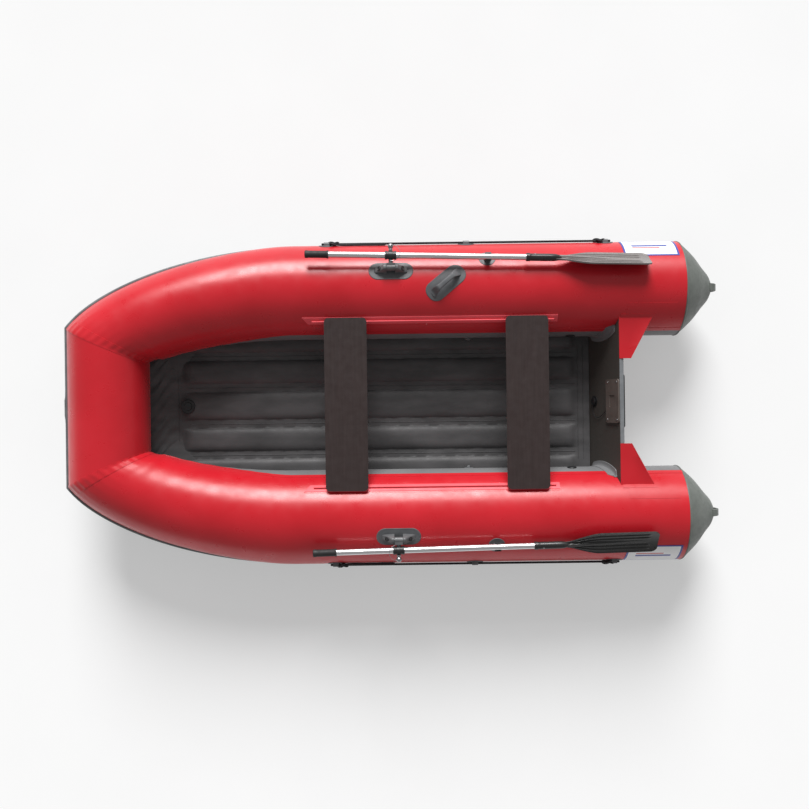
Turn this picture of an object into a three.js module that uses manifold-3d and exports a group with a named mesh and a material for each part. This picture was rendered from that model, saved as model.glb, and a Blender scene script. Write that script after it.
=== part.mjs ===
// Inflatable dinghy, modelled inflated and afloat-ready with its oars stowed along the side tubes.
// Millimetres. +X points to the bow, +Y to port, +Z up; z = 0 is the underside of the side tubes.
// Pieces of one side are modelled for port, and the starboard group mirrors them.
import * as THREE from "three";
import { mergeVertices } from "three/addons/utils/BufferGeometryUtils.js";
import Module from "manifold-3d";

const wasm = await Module();
wasm.setup();

// ---- Driving dimensions -------------------------------------------------------------------

const GAP = 0.3; // kept between pieces that touch
const SKIN = 3; // wall of every air chamber
const PATCH_T = 3; // glued patches

// Hull
const LENGTH = 3350; // bow strake's pad to the stern lugs
const COCKPIT_WIDTH = 680; // between the side tubes
const TUBE_R = 242;
const BOW_TUBE_R = 200;
const BOW_LIFT = 94; // the bow tube's axis above the side tubes' axes
const BOW_INSET = 265; // from a side tube's axis in to the end of the bow tube's axis
const BOW_ANGLE = rad(42.8); // the side tubes' turn where they meet the bow tube
const BEND_LENGTH = 936; // along X, straight tube to bow tube
const BEND_LEAD = 191; // handles of the bend's curve
const BOW_LEAD = 290;
const CONE_LENGTH = 200;
const LUG_REACH = 15; // how far a lug stands past its cone
const LUG_SIZE = [75, 34, 160]; // along, across and up
const LUG_SLOT = [22, 66]; // along and up
const LUG_WALL = 11; // behind the slot

// Strake
const STRAKE_HEIGHT = 44;
const STRAKE_T = 12;
const STRAKE_SIDE_ANGLE = rad(-13);
const STRAKE_BOW_ANGLE = rad(12);
const BOW_PAD = [4, 110, 34];

// Floor
const FLOOR_TOP = 155;
const FLOOR_LAP = 100; // how far the floor runs aft of the board's foot
const FLOOR_TIP_T = 42; // half thickness at the bow
const VALVE_BED = 8; // floor left open under the valve
const KEEL_CLEARANCE = 15;
const DEADRISE = 45; // rise of the floor's underside from the keel to its edge
const FLOOR_VALVE_X = 361; // behind the bow tube's axis
const FLOOR_RISE_X = 310; // behind the bow tube's axis, where the floor turns up
const FLOOR_TIP_Z = 215;

// Transom, in its own frame: its foot is on the inner face, z runs up the board
const TRANSOM_X = 426; // foot, ahead of the stern seam
const TRANSOM_FOOT_Z = 130;
const TRANSOM_TOP_Z = 420;
const TRANSOM_RAKE = rad(18.5);
const TRANSOM_T = 22;
const TRIM_HALF = 213; // half width of the bare top edge between the gussets
const TRANSOM_BOTTOM = 105; // below the foot
const TRIM_T = 4;
const MOTOR_PAD = [8, 222, 120];
const MOTOR_PAD_RECESS = [3, 60, 50];
const MOTOR_PLATE = [8, 270, 150];
const SEAL_FLANGE = 28;
const GUSSET_T = 4;
const GUSSET_LENGTH = 172; // along the tube, from the board's face
const GUSSET_END = 59; // along its inner end
const DRAIN_R = 19; // the barrel through the board
const DRAIN_RISE = 30.003; // above the floor
const TETHER_D = 3;

// Seats and rails
const RAIL_ANGLE = rad(131.7); // round the tube from outboard
const RAIL_WIDTH = 30;
const RAIL_BEAD_R = 4;
const RAIL_AFT = 636; // ahead of the stern seam
const RAIL_FORE = 64; // behind the start of the bend
const SEAT_WIDTH = 212;
const SEAT_T = 12;
const SEAT_CORNER_R = 22;
const SEAT_OVERHANG = 11.5; // past the rail's centre
const SEAT_STAND = 22; // underside above the tube at the rail
const RUNNER_LENGTH = 150;
const FRONT_SEAT = 282; // behind the start of the bend
const REAR_SEAT = 794; // ahead of the stern seam

// Oars and oarlocks
const OAR_LENGTH = 1706;
const GRIP_END = 424; // ahead of the oarlock
const SHAFT_R = 15;
const SHAFT_WALL = 1.5;
const GRIP_R = 18.5;
const GRIP_LENGTH = 117;
const BLADE_PIECE = 614;
const BLADE_LENGTH = 480;
const BLADE_WIDTH = 140;
const BLADE_T = 5;
const COLLAR_R = 21;
const COLLAR_LENGTH = 56;
const FIT = 0.3; // radial play of a sleeve on the shaft and of a hinge on its pin
const OARLOCK_ANGLE = rad(71);
const HINGE_RISE = 36; // hinge pin above the tube
const HINGE_PIN_R = 4;
const EAR_R = 17;
const EAR_T = 14;
const BLOCK_LENGTH = 40;
const BLOCK_R = 16;
const STEM_R = 10.5;
const PIN_R = 5;
const KNOB_R = 14;
const KNOB_REACH = 45; // ball's centre past the shaft's axis
const OARLOCK_PATCH = [225, 92];
const CLIP_PATCH_R = 44.5;
const CLIP_LENGTH = 30;
const CLIP_WALL = 5;

// Grab ropes, lashing rings and the carry handle
const ROPE_R = 5.5;
const ROPE_ANGLE = rad(16);
const ROPE_TAIL = 26; // past the end eyes
const EYE_LENGTH = 30;
const EYE_PATCH = [85, 60];
const RING_WIRE_R = 2;
const RING_R = 16;
const TAB_RISE = 49.143; // the lashing tabs' centres above the floor
const TAB_SIZE = [50, 40];
const HANDLE_PATCH = [228, 104];
const HANDLE_SPIN = rad(-40);
const HANDLE_ANGLE = rad(86);
const HANDLE_BAR = [150, 30, 9];
const HANDLE_RISE = 30; // underside of the bar above the tube

// Valves
const VALVE_FLANGE_R = 37;
const VALVE_BARREL_R = 28;
const VALVE_BORE_R = 20;
const VALVE_DEPTH = 30;
const CAP_R = 22.5;
const CAP_TAB = 12;
const TUBE_VALVE_R = 16;
const TUBE_VALVE_ANGLE = rad(173);
const VALVE_SIDES = 24;

// ---- Places worked out from them ----------------------------------------------------------

const TUBE_Y = COCKPIT_WIDTH / 2 + TUBE_R;
const TUBE_Z = TUBE_R;
const BOW_Z = TUBE_Z + BOW_LIFT;
const BOW_X = LENGTH / 2 - BOW_PAD[0] - STRAKE_T - BOW_TUBE_R;
const BOW_HALF = TUBE_Y - BOW_INSET;
const BEND_X = BOW_X - BEND_LENGTH;
const SEAM_X = -LENGTH / 2 + LUG_REACH + CONE_LENGTH;
const MITRE = (Math.PI / 2 - BOW_ANGLE) / 2;
const FOOT_X = SEAM_X + TRANSOM_X;
const BOARD_TOP = (TRANSOM_TOP_Z - TRANSOM_FOOT_Z) / Math.cos(TRANSOM_RAKE);
const DRAIN_Z = (FLOOR_TOP + DRAIN_RISE - TRANSOM_FOOT_Z) / Math.cos(TRANSOM_RAKE);
const EYE_X = {
  fore: BEND_X - 185,
  mid: (BEND_X - 185 + SEAM_X + 370) / 2,
  aft: SEAM_X + 370,
};
const HINGE_Y = TUBE_Y + (TUBE_R + HINGE_RISE) * Math.cos(OARLOCK_ANGLE);
const HINGE_Z = TUBE_Z + (TUBE_R + HINGE_RISE) * Math.sin(OARLOCK_ANGLE);
const PATCH_TOP = TUBE_R + GAP + PATCH_T;
const PATCH_ROOT = PATCH_TOP - 2.4; // what stands on a patch grows out of it from here
const ROPE_RADIUS = PATCH_TOP + ROPE_R + 1;
const TAB_ANGLE = Math.PI + Math.asin((TUBE_Z - FLOOR_TOP - TAB_RISE) / TUBE_R);

// What differs from side to side: the stations of the fittings, and how each oar lies.
const SIDES = {
  port: {
    mirror: 1,
    lockX: BEND_X - 536,
    reach: 50.5,
    yaw: rad(1.24),
    bladeTilt: rad(40),
    clip: 489,
    shift: -26,
    ringX: 86,
  },
  starboard: {
    mirror: -1,
    lockX: BEND_X - 514,
    reach: 60,
    yaw: rad(1.51),
    bladeTilt: rad(60),
    clip: 481,
    shift: 0,
    ringX: 80,
  },
};

// ---- Materials ----------------------------------------------------------------------------

const paint = (color, roughness, metalness = 0) =>
  new THREE.MeshStandardMaterial({ color, roughness, metalness });
const RED_FABRIC = paint(0xc4242e, 0.5);
const GREY_FABRIC = paint(0x8c8f92, 0.6);
const GREY_RUBBER = paint(0x55585a, 0.6);
const BLACK_PLASTIC = paint(0x16171a, 0.45);
const BROWN_PLASTIC = paint(0x5d4a42, 0.5);
const DARK_PLYWOOD = paint(0x241a18, 0.4);
const PALE_PLYWOOD = paint(0x8a7a68, 0.5);
const BRIGHT_ALUMINIUM = paint(0xc9ccd0, 0.3, 1);
const STEEL = paint(0x9da0a4, 0.35, 1);
const BLACK_ROPE = paint(0x1a1a1c, 0.85);

// ---- Solids -------------------------------------------------------------------------------

function rad(degrees) {
  return (degrees * Math.PI) / 180;
}

const v3 = (x, y, z) => new THREE.Vector3(x, y, z);
const moved = (geometry, x, y, z) => geometry.translate(x, y, z);

// A closed geometry as a solid for joining and cutting.
function solid(geometry) {
  const bare = geometry.clone();
  bare.deleteAttribute("normal");
  bare.deleteAttribute("uv");
  const merged = mergeVertices(bare, 1e-4);
  const index = merged.index.array;
  const faces = [];
  for (let i = 0; i < index.length; i += 3) {
    const [a, b, c] = [index[i], index[i + 1], index[i + 2]];
    if (a !== b && b !== c && c !== a) faces.push(a, b, c);
  }
  const mesh = new wasm.Mesh({
    numProp: 3,
    vertProperties: merged.attributes.position.array,
    triVerts: new Uint32Array(faces),
  });
  return new wasm.Manifold(mesh);
}

function geometryOf(shape) {
  const mesh = shape.getMesh();
  const geometry = new THREE.BufferGeometry();
  geometry.setAttribute("position", new THREE.BufferAttribute(mesh.vertProperties, 3));
  geometry.setIndex(new THREE.BufferAttribute(mesh.triVerts, 1));
  return geometry;
}

const join = (first, ...rest) =>
  geometryOf(rest.reduce((whole, piece) => whole.add(solid(piece)), solid(first)));
const cut = (first, ...rest) =>
  geometryOf(rest.reduce((whole, piece) => whole.subtract(solid(piece)), solid(first)));
const meet = (first, ...rest) =>
  geometryOf(rest.reduce((whole, piece) => whole.intersect(solid(piece)), solid(first)));

// A closed solid through a row of rings. Each ring turns counter-clockwise about the way forward.
function loft(rings) {
  const count = rings[0].length;
  const faces = [];
  for (let i = 0; i < rings.length - 1; i++) {
    for (let j = 0; j < count; j++) {
      const a = i * count + j;
      const b = i * count + ((j + 1) % count);
      faces.push(a, b, b + count, a, b + count, a + count);
    }
  }
  const last = (rings.length - 1) * count;
  for (let j = 1; j < count - 1; j++) {
    faces.push(0, j + 1, j, last, last + j, last + j + 1);
  }
  const geometry = new THREE.BufferGeometry().setFromPoints(rings.flat());
  geometry.setIndex(faces);
  return geometry;
}

function box(x0, x1, y0, y1, z0, z1) {
  const geometry = new THREE.BoxGeometry(x1 - x0, y1 - y0, z1 - z0);
  return moved(geometry, (x0 + x1) / 2, (y0 + y1) / 2, (z0 + z1) / 2);
}

// Prisms of a plan (x, y) between two heights, of a side view (x, z) between two widths,
// and of a section (y, z) between two stations.
function planPrism(shape, z0, z1) {
  const geometry = new THREE.ExtrudeGeometry(shape, extrusion(z1 - z0));
  return moved(geometry, 0, 0, z0);
}

function sidePrism(shape, y0, y1) {
  const geometry = new THREE.ExtrudeGeometry(shape, extrusion(y1 - y0));
  return moved(geometry.rotateX(Math.PI / 2), 0, y1, 0);
}

function sectionPrism(shape, x0, x1) {
  const geometry = new THREE.ExtrudeGeometry(shape, extrusion(x1 - x0));
  const turn = new THREE.Matrix4().makeBasis(v3(0, 1, 0), v3(0, 0, 1), v3(1, 0, 0));
  return moved(geometry.applyMatrix4(turn), x0, 0, 0);
}

function extrusion(depth) {
  return { depth, bevelEnabled: false, curveSegments: 4 };
}

const polygon = (points) => new THREE.Shape(points.map(([x, y]) => new THREE.Vector2(x, y)));

function roundedRectangle(width, height, r) {
  const [x, y] = [width / 2, height / 2];
  const shape = new THREE.Shape();
  shape.absarc(x - r, y - r, r, 0, Math.PI / 2);
  shape.absarc(r - x, y - r, r, Math.PI / 2, Math.PI);
  shape.absarc(r - x, r - y, r, Math.PI, Math.PI * 1.5);
  shape.absarc(x - r, r - y, r, Math.PI * 1.5, Math.PI * 2);
  shape.closePath();
  return shape;
}

function ellipse(width, height) {
  const shape = new THREE.Shape();
  shape.absellipse(0, 0, width / 2, height / 2, 0, Math.PI * 2);
  return shape;
}

// Turned pieces: the profile holds [radius, height] pairs, and the axis ends up on X, Y or Z.
function turned(profile, axis, sides = 16) {
  const points = profile.map(([r, h]) => new THREE.Vector2(r, h));
  const geometry = new THREE.LatheGeometry(points, sides);
  if (axis === "x") geometry.rotateZ(-Math.PI / 2);
  if (axis === "z") geometry.rotateX(Math.PI / 2);
  return geometry;
}

const rod = (r, from, to, axis, sides = 16) =>
  turned([[0, from], [r, from], [r, to], [0, to]], axis, sides);
const sleeve = (inner, outer, from, to, axis, sides = 16) =>
  turned([[inner, from], [outer, from], [outer, to], [inner, to], [inner, from]], axis, sides);

// ---- The tubes' centreline ----------------------------------------------------------------

const TUBE_SIDES = 28;
const bend = new THREE.CubicBezierCurve(
  new THREE.Vector2(BOW_X, BOW_HALF),
  new THREE.Vector2(
    BOW_X - BOW_LEAD * Math.cos(BOW_ANGLE),
    BOW_HALF + BOW_LEAD * Math.sin(BOW_ANGLE),
  ),
  new THREE.Vector2(BEND_X + BEND_LEAD, TUBE_Y),
  new THREE.Vector2(BEND_X, TUBE_Y),
);

// A station of a side tube's bend: t is 0 at the bow tube and 1 where the tube is straight.
// bow goes from 0 to 1 with it, level at both ends.
function station(t) {
  const at = bend.getPoint(t);
  const along = bend.getTangent(t).negate();
  const bow = 1 - t * t * (3 - 2 * t);
  return {
    centre: v3(at.x, at.y, TUBE_Z + BOW_LIFT * bow),
    along: v3(along.x, along.y, 0),
    out: v3(-along.y, along.x, 0),
    r: TUBE_R + (BOW_TUBE_R - TUBE_R) * bow,
    bow,
  };
}

const straightStation = (x) => ({ ...station(1), centre: v3(x, TUBE_Y, TUBE_Z) });
const BEND_STEPS = [1, 0.84, 0.68, 0.52, 0.36, 0.18];

// A point of a section, by its distance out from the axis and its height over it.
const across = (s, out, up) =>
  s.centre.clone().addScaledVector(s.out, out).add(v3(0, 0, up));

function ring(s, r) {
  const points = [];
  for (let j = 0; j < TUBE_SIDES; j++) {
    const angle = (j / TUBE_SIDES) * Math.PI * 2;
    points.push(across(s, r * Math.cos(angle), r * Math.sin(angle)));
  }
  return points;
}

// Slides points of the section at the bow tube along the side tube onto the mitre plane,
// moved back by some distance.
function mitred(points, back) {
  const { centre, along } = station(0);
  const normal = v3(-Math.sin(MITRE), Math.cos(MITRE), 0);
  return points.map((p) => {
    const away = p.clone().sub(centre).dot(normal);
    return p.clone().addScaledVector(along, (back - away) / along.dot(normal));
  });
}

// The outside or inside of a side tube: its radius grows by grow, and it ends back from the mitre.
function sideTube(grow, aftX, back) {
  const rings = [ring(straightStation(aftX), TUBE_R + grow)];
  BEND_STEPS.forEach((t) => rings.push(ring(station(t), station(t).r + grow)));
  rings.push(mitred(ring(station(0), BOW_TUBE_R + grow), back));
  return loft(rings);
}

function bowTube(grow, back) {
  const port = mitred(ring(station(0), BOW_TUBE_R + grow), back);
  const starboard = port.map((p) => v3(p.x, -p.y, p.z));
  return loft([port, starboard]);
}

const mirroredSolid = (geometry) => {
  const copy = geometry.clone().scale(1, -1, 1);
  const index = copy.index.array;
  for (let i = 0; i < index.length; i += 3) {
    [index[i + 1], index[i + 2]] = [index[i + 2], index[i + 1]];
  }
  return copy;
};

// ---- Places on the straight tube ----------------------------------------------------------

// The frame of a place on the tube: its origin is on the tube's axis, +Z points out through
// the skin at the angle, +X forward.
const tubeFrame = (x, angle) =>
  new THREE.Matrix4().makeTranslation(x, TUBE_Y, TUBE_Z)
    .multiply(new THREE.Matrix4().makeRotationX(angle - Math.PI / 2));

// A patch that follows the tube: the outline bent over it.
function patch(outline, x, angle, thickness = PATCH_T) {
  const shell = new THREE.Shape();
  const inner = TUBE_R + GAP;
  const corner = (r, j) => {
    const a = (j / TUBE_SIDES) * Math.PI * 2 - (angle - Math.PI / 2);
    return new THREE.Vector2(r * Math.cos(a), r * Math.sin(a));
  };
  const middle = Math.round((angle / Math.PI / 2) * TUBE_SIDES);
  const reach = Math.ceil(TUBE_SIDES / 6);
  const points = [];
  for (let j = middle - reach; j <= middle + reach; j++) points.push(corner(inner + thickness, j));
  for (let j = middle + reach; j >= middle - reach; j--) points.push(corner(inner, j));
  shell.setFromPoints(points);
  const bent = sectionPrism(shell, -LENGTH / 2, LENGTH / 2);
  const outlined = planPrism(outline, inner / 2, inner * 2);
  return meet(bent, outlined).applyMatrix4(tubeFrame(x, angle));
}

const onTube = (geometry, x, angle) => geometry.applyMatrix4(tubeFrame(x, angle));
const tubeInnerY = (z) => TUBE_Y - Math.sqrt(TUBE_R ** 2 - (z - TUBE_Z) ** 2);

// ---- Hull pieces --------------------------------------------------------------------------

function sideTubeShell(valveX) {
  const aft = SEAM_X + GAP / 2;
  const outside = sideTube(0, aft, GAP / 2);
  const inside = sideTube(-SKIN, aft - 10, SKIN);
  const hole = rod(TUBE_VALVE_R + FIT, TUBE_R / 2, TUBE_R * 1.5, "z");
  return cut(outside, inside, onTube(hole, valveX, TUBE_VALVE_ANGLE));
}

const bowTubeShell = () => cut(bowTube(0, -GAP / 2), bowTube(-SKIN, 10));

// The cone's profile from its mouth to its tip, as [share of the tube's radius, distance aft].
const CONE_PROFILE = [[1, 0], [0.92, 0.13], [0.71, 0.4], [0.46, 0.65], [0.3, 0.82], [0.2, 0.9], [0, 0.925]]
  .map(([share, x]) => [share, Math.max(x * CONE_LENGTH, GAP)]);

function sternCone() {
  const outer = CONE_PROFILE.map(([share, x]) => [share * TUBE_R, x]);
  const inner = CONE_PROFILE
    .map(([share, x]) => [Math.max(share * TUBE_R - SKIN, 0), Math.max(x - SKIN, GAP)])
    .reverse();
  const cone = turned([...outer, ...inner, outer[0]], "x", TUBE_SIDES);
  return moved(cone.rotateZ(Math.PI), SEAM_X, TUBE_Y, TUBE_Z);
}

// A moulded loop standing on edge over the cone's tip, for a line that crosses it.
function sternLug() {
  const [length, width, height] = LUG_SIZE;
  const aft = -LENGTH / 2;
  const outline = new THREE.Shape();
  outline.absellipse(0, 0, length, height / 2, Math.PI / 2, Math.PI * 1.5);
  outline.closePath();
  const body = sidePrism(outline, -width / 2, width / 2);
  const slot = roundedRectangle(LUG_SLOT[0], LUG_SLOT[1], LUG_SLOT[0] / 2 - 0.5);
  const hole = moved(sidePrism(slot, -width, width), LUG_WALL + LUG_SLOT[0] / 2 - length, 0, 0);
  const lug = moved(cut(body, hole), aft + length, TUBE_Y, TUBE_Z);
  const coneRoom = turned(
    [[0, 0], ...CONE_PROFILE.map(([share, x]) => [share * TUBE_R, x])],
    "x",
    TUBE_SIDES,
  );
  moved(coneRoom.rotateZ(Math.PI), SEAM_X - GAP * 3, TUBE_Y, TUBE_Z);
  return cut(lug, coneRoom);
}

// The strake's section at a station: a bar against the skin, its outer corners rounded off.
function strakeSection(s) {
  const angle = STRAKE_SIDE_ANGLE + (STRAKE_BOW_ANGLE - STRAKE_SIDE_ANGLE) * s.bow;
  const half = STRAKE_HEIGHT / 2;
  const inner = s.r + GAP * 5;
  const outer = s.r + STRAKE_T;
  const corners = [
    [inner, -half],
    [outer - 4, -half],
    [outer, -half + 8],
    [outer, half - 8],
    [outer - 4, half],
    [inner, half],
  ];
  return corners.map(([out, up]) => across(
    s,
    out * Math.cos(angle) - up * Math.sin(angle),
    out * Math.sin(angle) + up * Math.cos(angle),
  ));
}

function rubbingStrake() {
  const port = [strakeSection(straightStation(SEAM_X + 20))];
  BEND_STEPS.forEach((t) => port.push(strakeSection(station(t))));
  port.push(mitred(strakeSection(station(0)), 0));
  const starboard = port.map((points) => points.map((p) => v3(p.x, -p.y, p.z))).reverse();
  const [thickness, width, height] = BOW_PAD;
  const x = LENGTH / 2;
  const r = BOW_TUBE_R + STRAKE_T;
  const pad = box(r - 3, r + thickness, -width / 2, width / 2, -height / 2, height / 2);
  pad.rotateY(-STRAKE_BOW_ANGLE);
  moved(pad, BOW_X, 0, BOW_Z);
  return meet(join(loft([...port, ...starboard]), pad), box(-x, x, -x, x, -x, x));
}

// The air floor's outer or inner form. Its plan follows the tubes, its underside has a keel,
// and it turns up at the bow.
function floorForm(inset) {
  const edge = 0.67; // of the radius: the floor tucks this far under the tubes
  const side = [straightStation(FOOT_X - FLOOR_LAP), ...[...BEND_STEPS, 0].map(station)]
    .map((s) => across(s, inset * -1 - edge * s.r, 0));
  const plan = [...side, ...side.map((p) => v3(p.x, -p.y, p.z)).reverse()];
  const foreX = BOW_X - edge * BOW_TUBE_R - inset;
  const riseX = BOW_X - FLOOR_RISE_X;
  const keel = BEND_STEPS.map(station).map((s) => [s.centre.x, s.centre.z - s.r]);
  const aftX = FOOT_X - FLOOR_LAP;
  const profile = polygon([
    [aftX, KEEL_CLEARANCE + inset],
    ...keel.map(([x, z]) => [x, z + KEEL_CLEARANCE + inset]),
    [BOW_X, BOW_LIFT + KEEL_CLEARANCE + inset + FLOOR_TIP_T],
    [BOW_X, FLOOR_TIP_Z + FLOOR_TIP_T - inset],
    [foreX + inset, FLOOR_TIP_Z - inset],
    [riseX, FLOOR_TOP - inset],
    [aftX, FLOOR_TOP - inset],
  ]);
  const half = TUBE_Y;
  const vee = polygon([
    [0, KEEL_CLEARANCE + inset],
    [half, KEEL_CLEARANCE + inset + (DEADRISE * half) / (TUBE_Y - edge * TUBE_R)],
    [half, TUBE_Z * 2],
    [-half, TUBE_Z * 2],
    [-half, KEEL_CLEARANCE + inset + (DEADRISE * half) / (TUBE_Y - edge * TUBE_R)],
  ]);
  const clear = GAP * 2 + inset;
  const tube = sideTube(clear, SEAM_X, -5);
  return cut(
    meet(
      planPrism(polygon(plan.map((p) => [p.x, p.y])), 0, TUBE_Z * 2),
      sidePrism(profile, -half, half),
      sectionPrism(vee, aftX, foreX),
    ),
    tube,
    mirroredSolid(tube),
    bowTube(clear, 5),
    onTransom(box(-500, 1 + inset, -TUBE_Y, TUBE_Y, -300, 300)),
  );
}

function airFloor() {
  const x = BOW_X - FLOOR_VALVE_X;
  const depth = VALVE_DEPTH + VALVE_BED;
  const hole = rod(VALVE_BARREL_R + FIT, FLOOR_TOP - depth, FLOOR_TOP + 10, "z", VALVE_SIDES);
  return cut(floorForm(0), floorForm(SKIN), moved(hole, x, 0, 0));
}

// ---- Transom ------------------------------------------------------------------------------

// Geometry from the transom's own frame: x out of its inner face, z up the board.
function onTransom(geometry) {
  geometry.rotateY(-TRANSOM_RAKE);
  return moved(geometry, FOOT_X, 0, TRANSOM_FOOT_Z);
}

const tubeCore = (grow) => {
  const core = rod(TUBE_R + grow, -LENGTH / 2, LENGTH / 2, "x", TUBE_SIDES);
  core.rotateX(Math.PI / 2);
  return moved(core, 0, TUBE_Y, TUBE_Z);
};

function transomBoard() {
  const half = tubeInnerY(TRANSOM_TOP_Z);
  const outline = polygon([[half, -TRANSOM_BOTTOM], [half, BOARD_TOP], [-half, BOARD_TOP], [-half, -TRANSOM_BOTTOM]]);
  const board = sectionPrism(outline, -TRANSOM_T, 0);
  const bore = rod(DRAIN_R + FIT, -TRANSOM_T * 2, TRANSOM_T, "x", VALVE_SIDES);
  const hole = moved(bore, 0, 0, DRAIN_Z);
  const core = tubeCore(GAP * 2);
  return cut(onTransom(cut(board, hole)), core, mirroredSolid(core));
}

const transomTrim = () =>
  onTransom(box(-TRANSOM_T, 0, -TRIM_HALF, TRIM_HALF, BOARD_TOP + GAP, BOARD_TOP + TRIM_T));

function motorPad() {
  const [thickness, width, height] = MOTOR_PAD;
  const [depth, recessWidth, recessHeight] = MOTOR_PAD_RECESS;
  const z = BOARD_TOP - height / 2;
  const body = sectionPrism(roundedRectangle(width, height, 14), GAP, GAP + thickness);
  const recess = sectionPrism(roundedRectangle(recessWidth, recessHeight, 4), GAP + thickness - depth, 20);
  return onTransom(moved(cut(body, recess), 0, 0, z));
}

function motorPlate() {
  const [thickness, width, height] = MOTOR_PLATE;
  const body = sectionPrism(roundedRectangle(width, height, 14), -thickness - GAP, -GAP);
  return onTransom(moved(body, -TRANSOM_T, 0, BOARD_TOP - height / 2));
}

// An angle strip round the tube, one leg on the board and one on the tube.
function transomSeal() {
  const room = box(FOOT_X - 300, FOOT_X + 300, 0, TUBE_Y, FLOOR_TOP + 8, TRANSOM_TOP_Z - 1);
  const onBoard = cut(
    meet(onTransom(box(GAP, GAP + PATCH_T, 0, TUBE_Y, -300, 400)), tubeCore(SEAL_FLANGE), room),
    tubeCore(GAP * 2),
  );
  const onTubeLeg = cut(
    meet(onTransom(box(GAP, SEAL_FLANGE, 0, TUBE_Y, -300, 400)), tubeCore(GAP * 2 + PATCH_T), room),
    tubeCore(GAP * 2),
  );
  return join(onBoard, onTubeLeg);
}

// A web over the end of the board's top edge, which runs aft along the tube.
function gusset() {
  const faceX = FOOT_X - (TRANSOM_TOP_Z - TRANSOM_FOOT_Z) * Math.tan(TRANSOM_RAKE);
  const z = TRANSOM_TOP_Z + GAP;
  const inner = TRIM_HALF + GAP * 2;
  const outline = polygon([
    [faceX, TUBE_Y],
    [faceX - GUSSET_LENGTH, TUBE_Y],
    [faceX - GUSSET_LENGTH, tubeInnerY(z)],
    [faceX - GUSSET_END, inner],
    [faceX, inner],
  ]);
  return cut(planPrism(outline, z, z + GUSSET_T), tubeCore(GAP * 2));
}

function drainBody() {
  const [bore, flange] = [DRAIN_R - 3.5, DRAIN_R + 10];
  const profile = [
    [bore, -TRANSOM_T - 4],
    [DRAIN_R, -TRANSOM_T - 4],
    [DRAIN_R, GAP],
    [flange, GAP],
    [flange, 4],
    [bore, 5],
    [bore, -TRANSOM_T - 4],
  ];
  return onTransom(moved(turned(profile, "x", VALVE_SIDES), 0, 0, DRAIN_Z));
}

function drainPlug() {
  const shank = DRAIN_R - 4;
  const head = DRAIN_R + 2;
  const profile = [[0, -TRANSOM_T], [shank - 1, -TRANSOM_T], [shank, 5.5], [head, 5.5], [head, 12], [0, 14]];
  return onTransom(moved(turned(profile, "x", VALVE_SIDES), 0, 0, DRAIN_Z));
}

// The plug's cord, from the rim of its head round to the motor pad's lower edge.
function drainTether() {
  const head = DRAIN_R + 2;
  const padBottom = BOARD_TOP - MOTOR_PAD[2];
  const route = [
    v3(9, head + GAP, DRAIN_Z),
    v3(9, head + 14, DRAIN_Z - 4),
    v3(8, 58, DRAIN_Z - 2),
    v3(7, 84, DRAIN_Z + 22),
    v3(6, 82, DRAIN_Z + 62),
    v3(6, 62, padBottom - 28),
    v3(5, 52, padBottom - 10),
    v3(5, 50, padBottom - GAP),
  ];
  return onTransom(cord(route, TETHER_D / 2, 26, 8));
}

// A round cord through some points.
function cord(route, r, steps, sides) {
  const path = new THREE.CatmullRomCurve3(route, false, "centripetal");
  const circle = new THREE.Shape();
  const points = [];
  for (let j = 0; j < sides; j++) {
    const angle = (j / sides) * Math.PI * 2;
    points.push(new THREE.Vector2(r * Math.cos(angle), r * Math.sin(angle)));
  }
  circle.setFromPoints(points);
  return new THREE.ExtrudeGeometry(circle, { extrudePath: path, steps, bevelEnabled: false });
}

// ---- Seats --------------------------------------------------------------------------------

const RAIL_Y = TUBE_Y + TUBE_R * Math.cos(RAIL_ANGLE);
const SEAT_Z = TUBE_Z + TUBE_R * Math.sin(RAIL_ANGLE) + SEAT_STAND;
const RAIL_TOP = PATCH_TOP + 2 + RAIL_BEAD_R;

const railBead = (grow, from, to) =>
  onTube(moved(rod(RAIL_BEAD_R + grow, from, to, "x", 12), 0, 0, RAIL_TOP), 0, RAIL_ANGLE);

// A strip glued along the tube, with a bead that the seats' runners hold. Its fore end is pointed.
function seatRail() {
  const [aft, fore] = [SEAM_X + RAIL_AFT, BEND_X - RAIL_FORE];
  const half = RAIL_WIDTH / 2;
  const outline = polygon([[aft, -half], [fore - half, -half], [fore, half], [aft, half]]);
  const web = onTube(box(aft + 20, fore - 50, -1.5, 1.5, PATCH_ROOT, RAIL_TOP), 0, RAIL_ANGLE);
  return join(patch(outline, 0, RAIL_ANGLE), web, railBead(0, aft + 20, fore - 50));
}

function seat(x) {
  const y = RAIL_Y + SEAT_OVERHANG;
  const board = planPrism(roundedRectangle(SEAT_WIDTH, y * 2, SEAT_CORNER_R), SEAT_Z, SEAT_Z + SEAT_T);
  const half = RUNNER_LENGTH / 2;
  const runner = cut(
    box(-half, half, RAIL_Y - 28, RAIL_Y + 4, SEAT_Z - 16, SEAT_Z + 1),
    moved(tubeCore(GAP * 3 + PATCH_T), -x, 0, 0),
    moved(railBead(1, -LENGTH / 2, LENGTH / 2), -x, 0, 0),
  );
  return moved(join(board, runner, mirroredSolid(runner)), x, 0, 0);
}

// ---- Oars ---------------------------------------------------------------------------------

// Geometry from an oar's own frame: x forward along the shaft, origin on the oarlock's pin.
function onOar(geometry, side) {
  geometry.rotateZ(side.yaw);
  return moved(geometry, side.lockX, HINGE_Y + side.reach, HINGE_Z);
}

const crossBore = (side) => rod(PIN_R + FIT, -COLLAR_R * 2, COLLAR_R * 2, "y").rotateZ(-side.yaw);

function oarShaft(side) {
  const from = GRIP_END - OAR_LENGTH + BLADE_PIECE - 100;
  const tube = sleeve(SHAFT_R - SHAFT_WALL, SHAFT_R, from, GRIP_END - 8, "x");
  return onOar(cut(tube, crossBore(side)), side);
}

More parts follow.
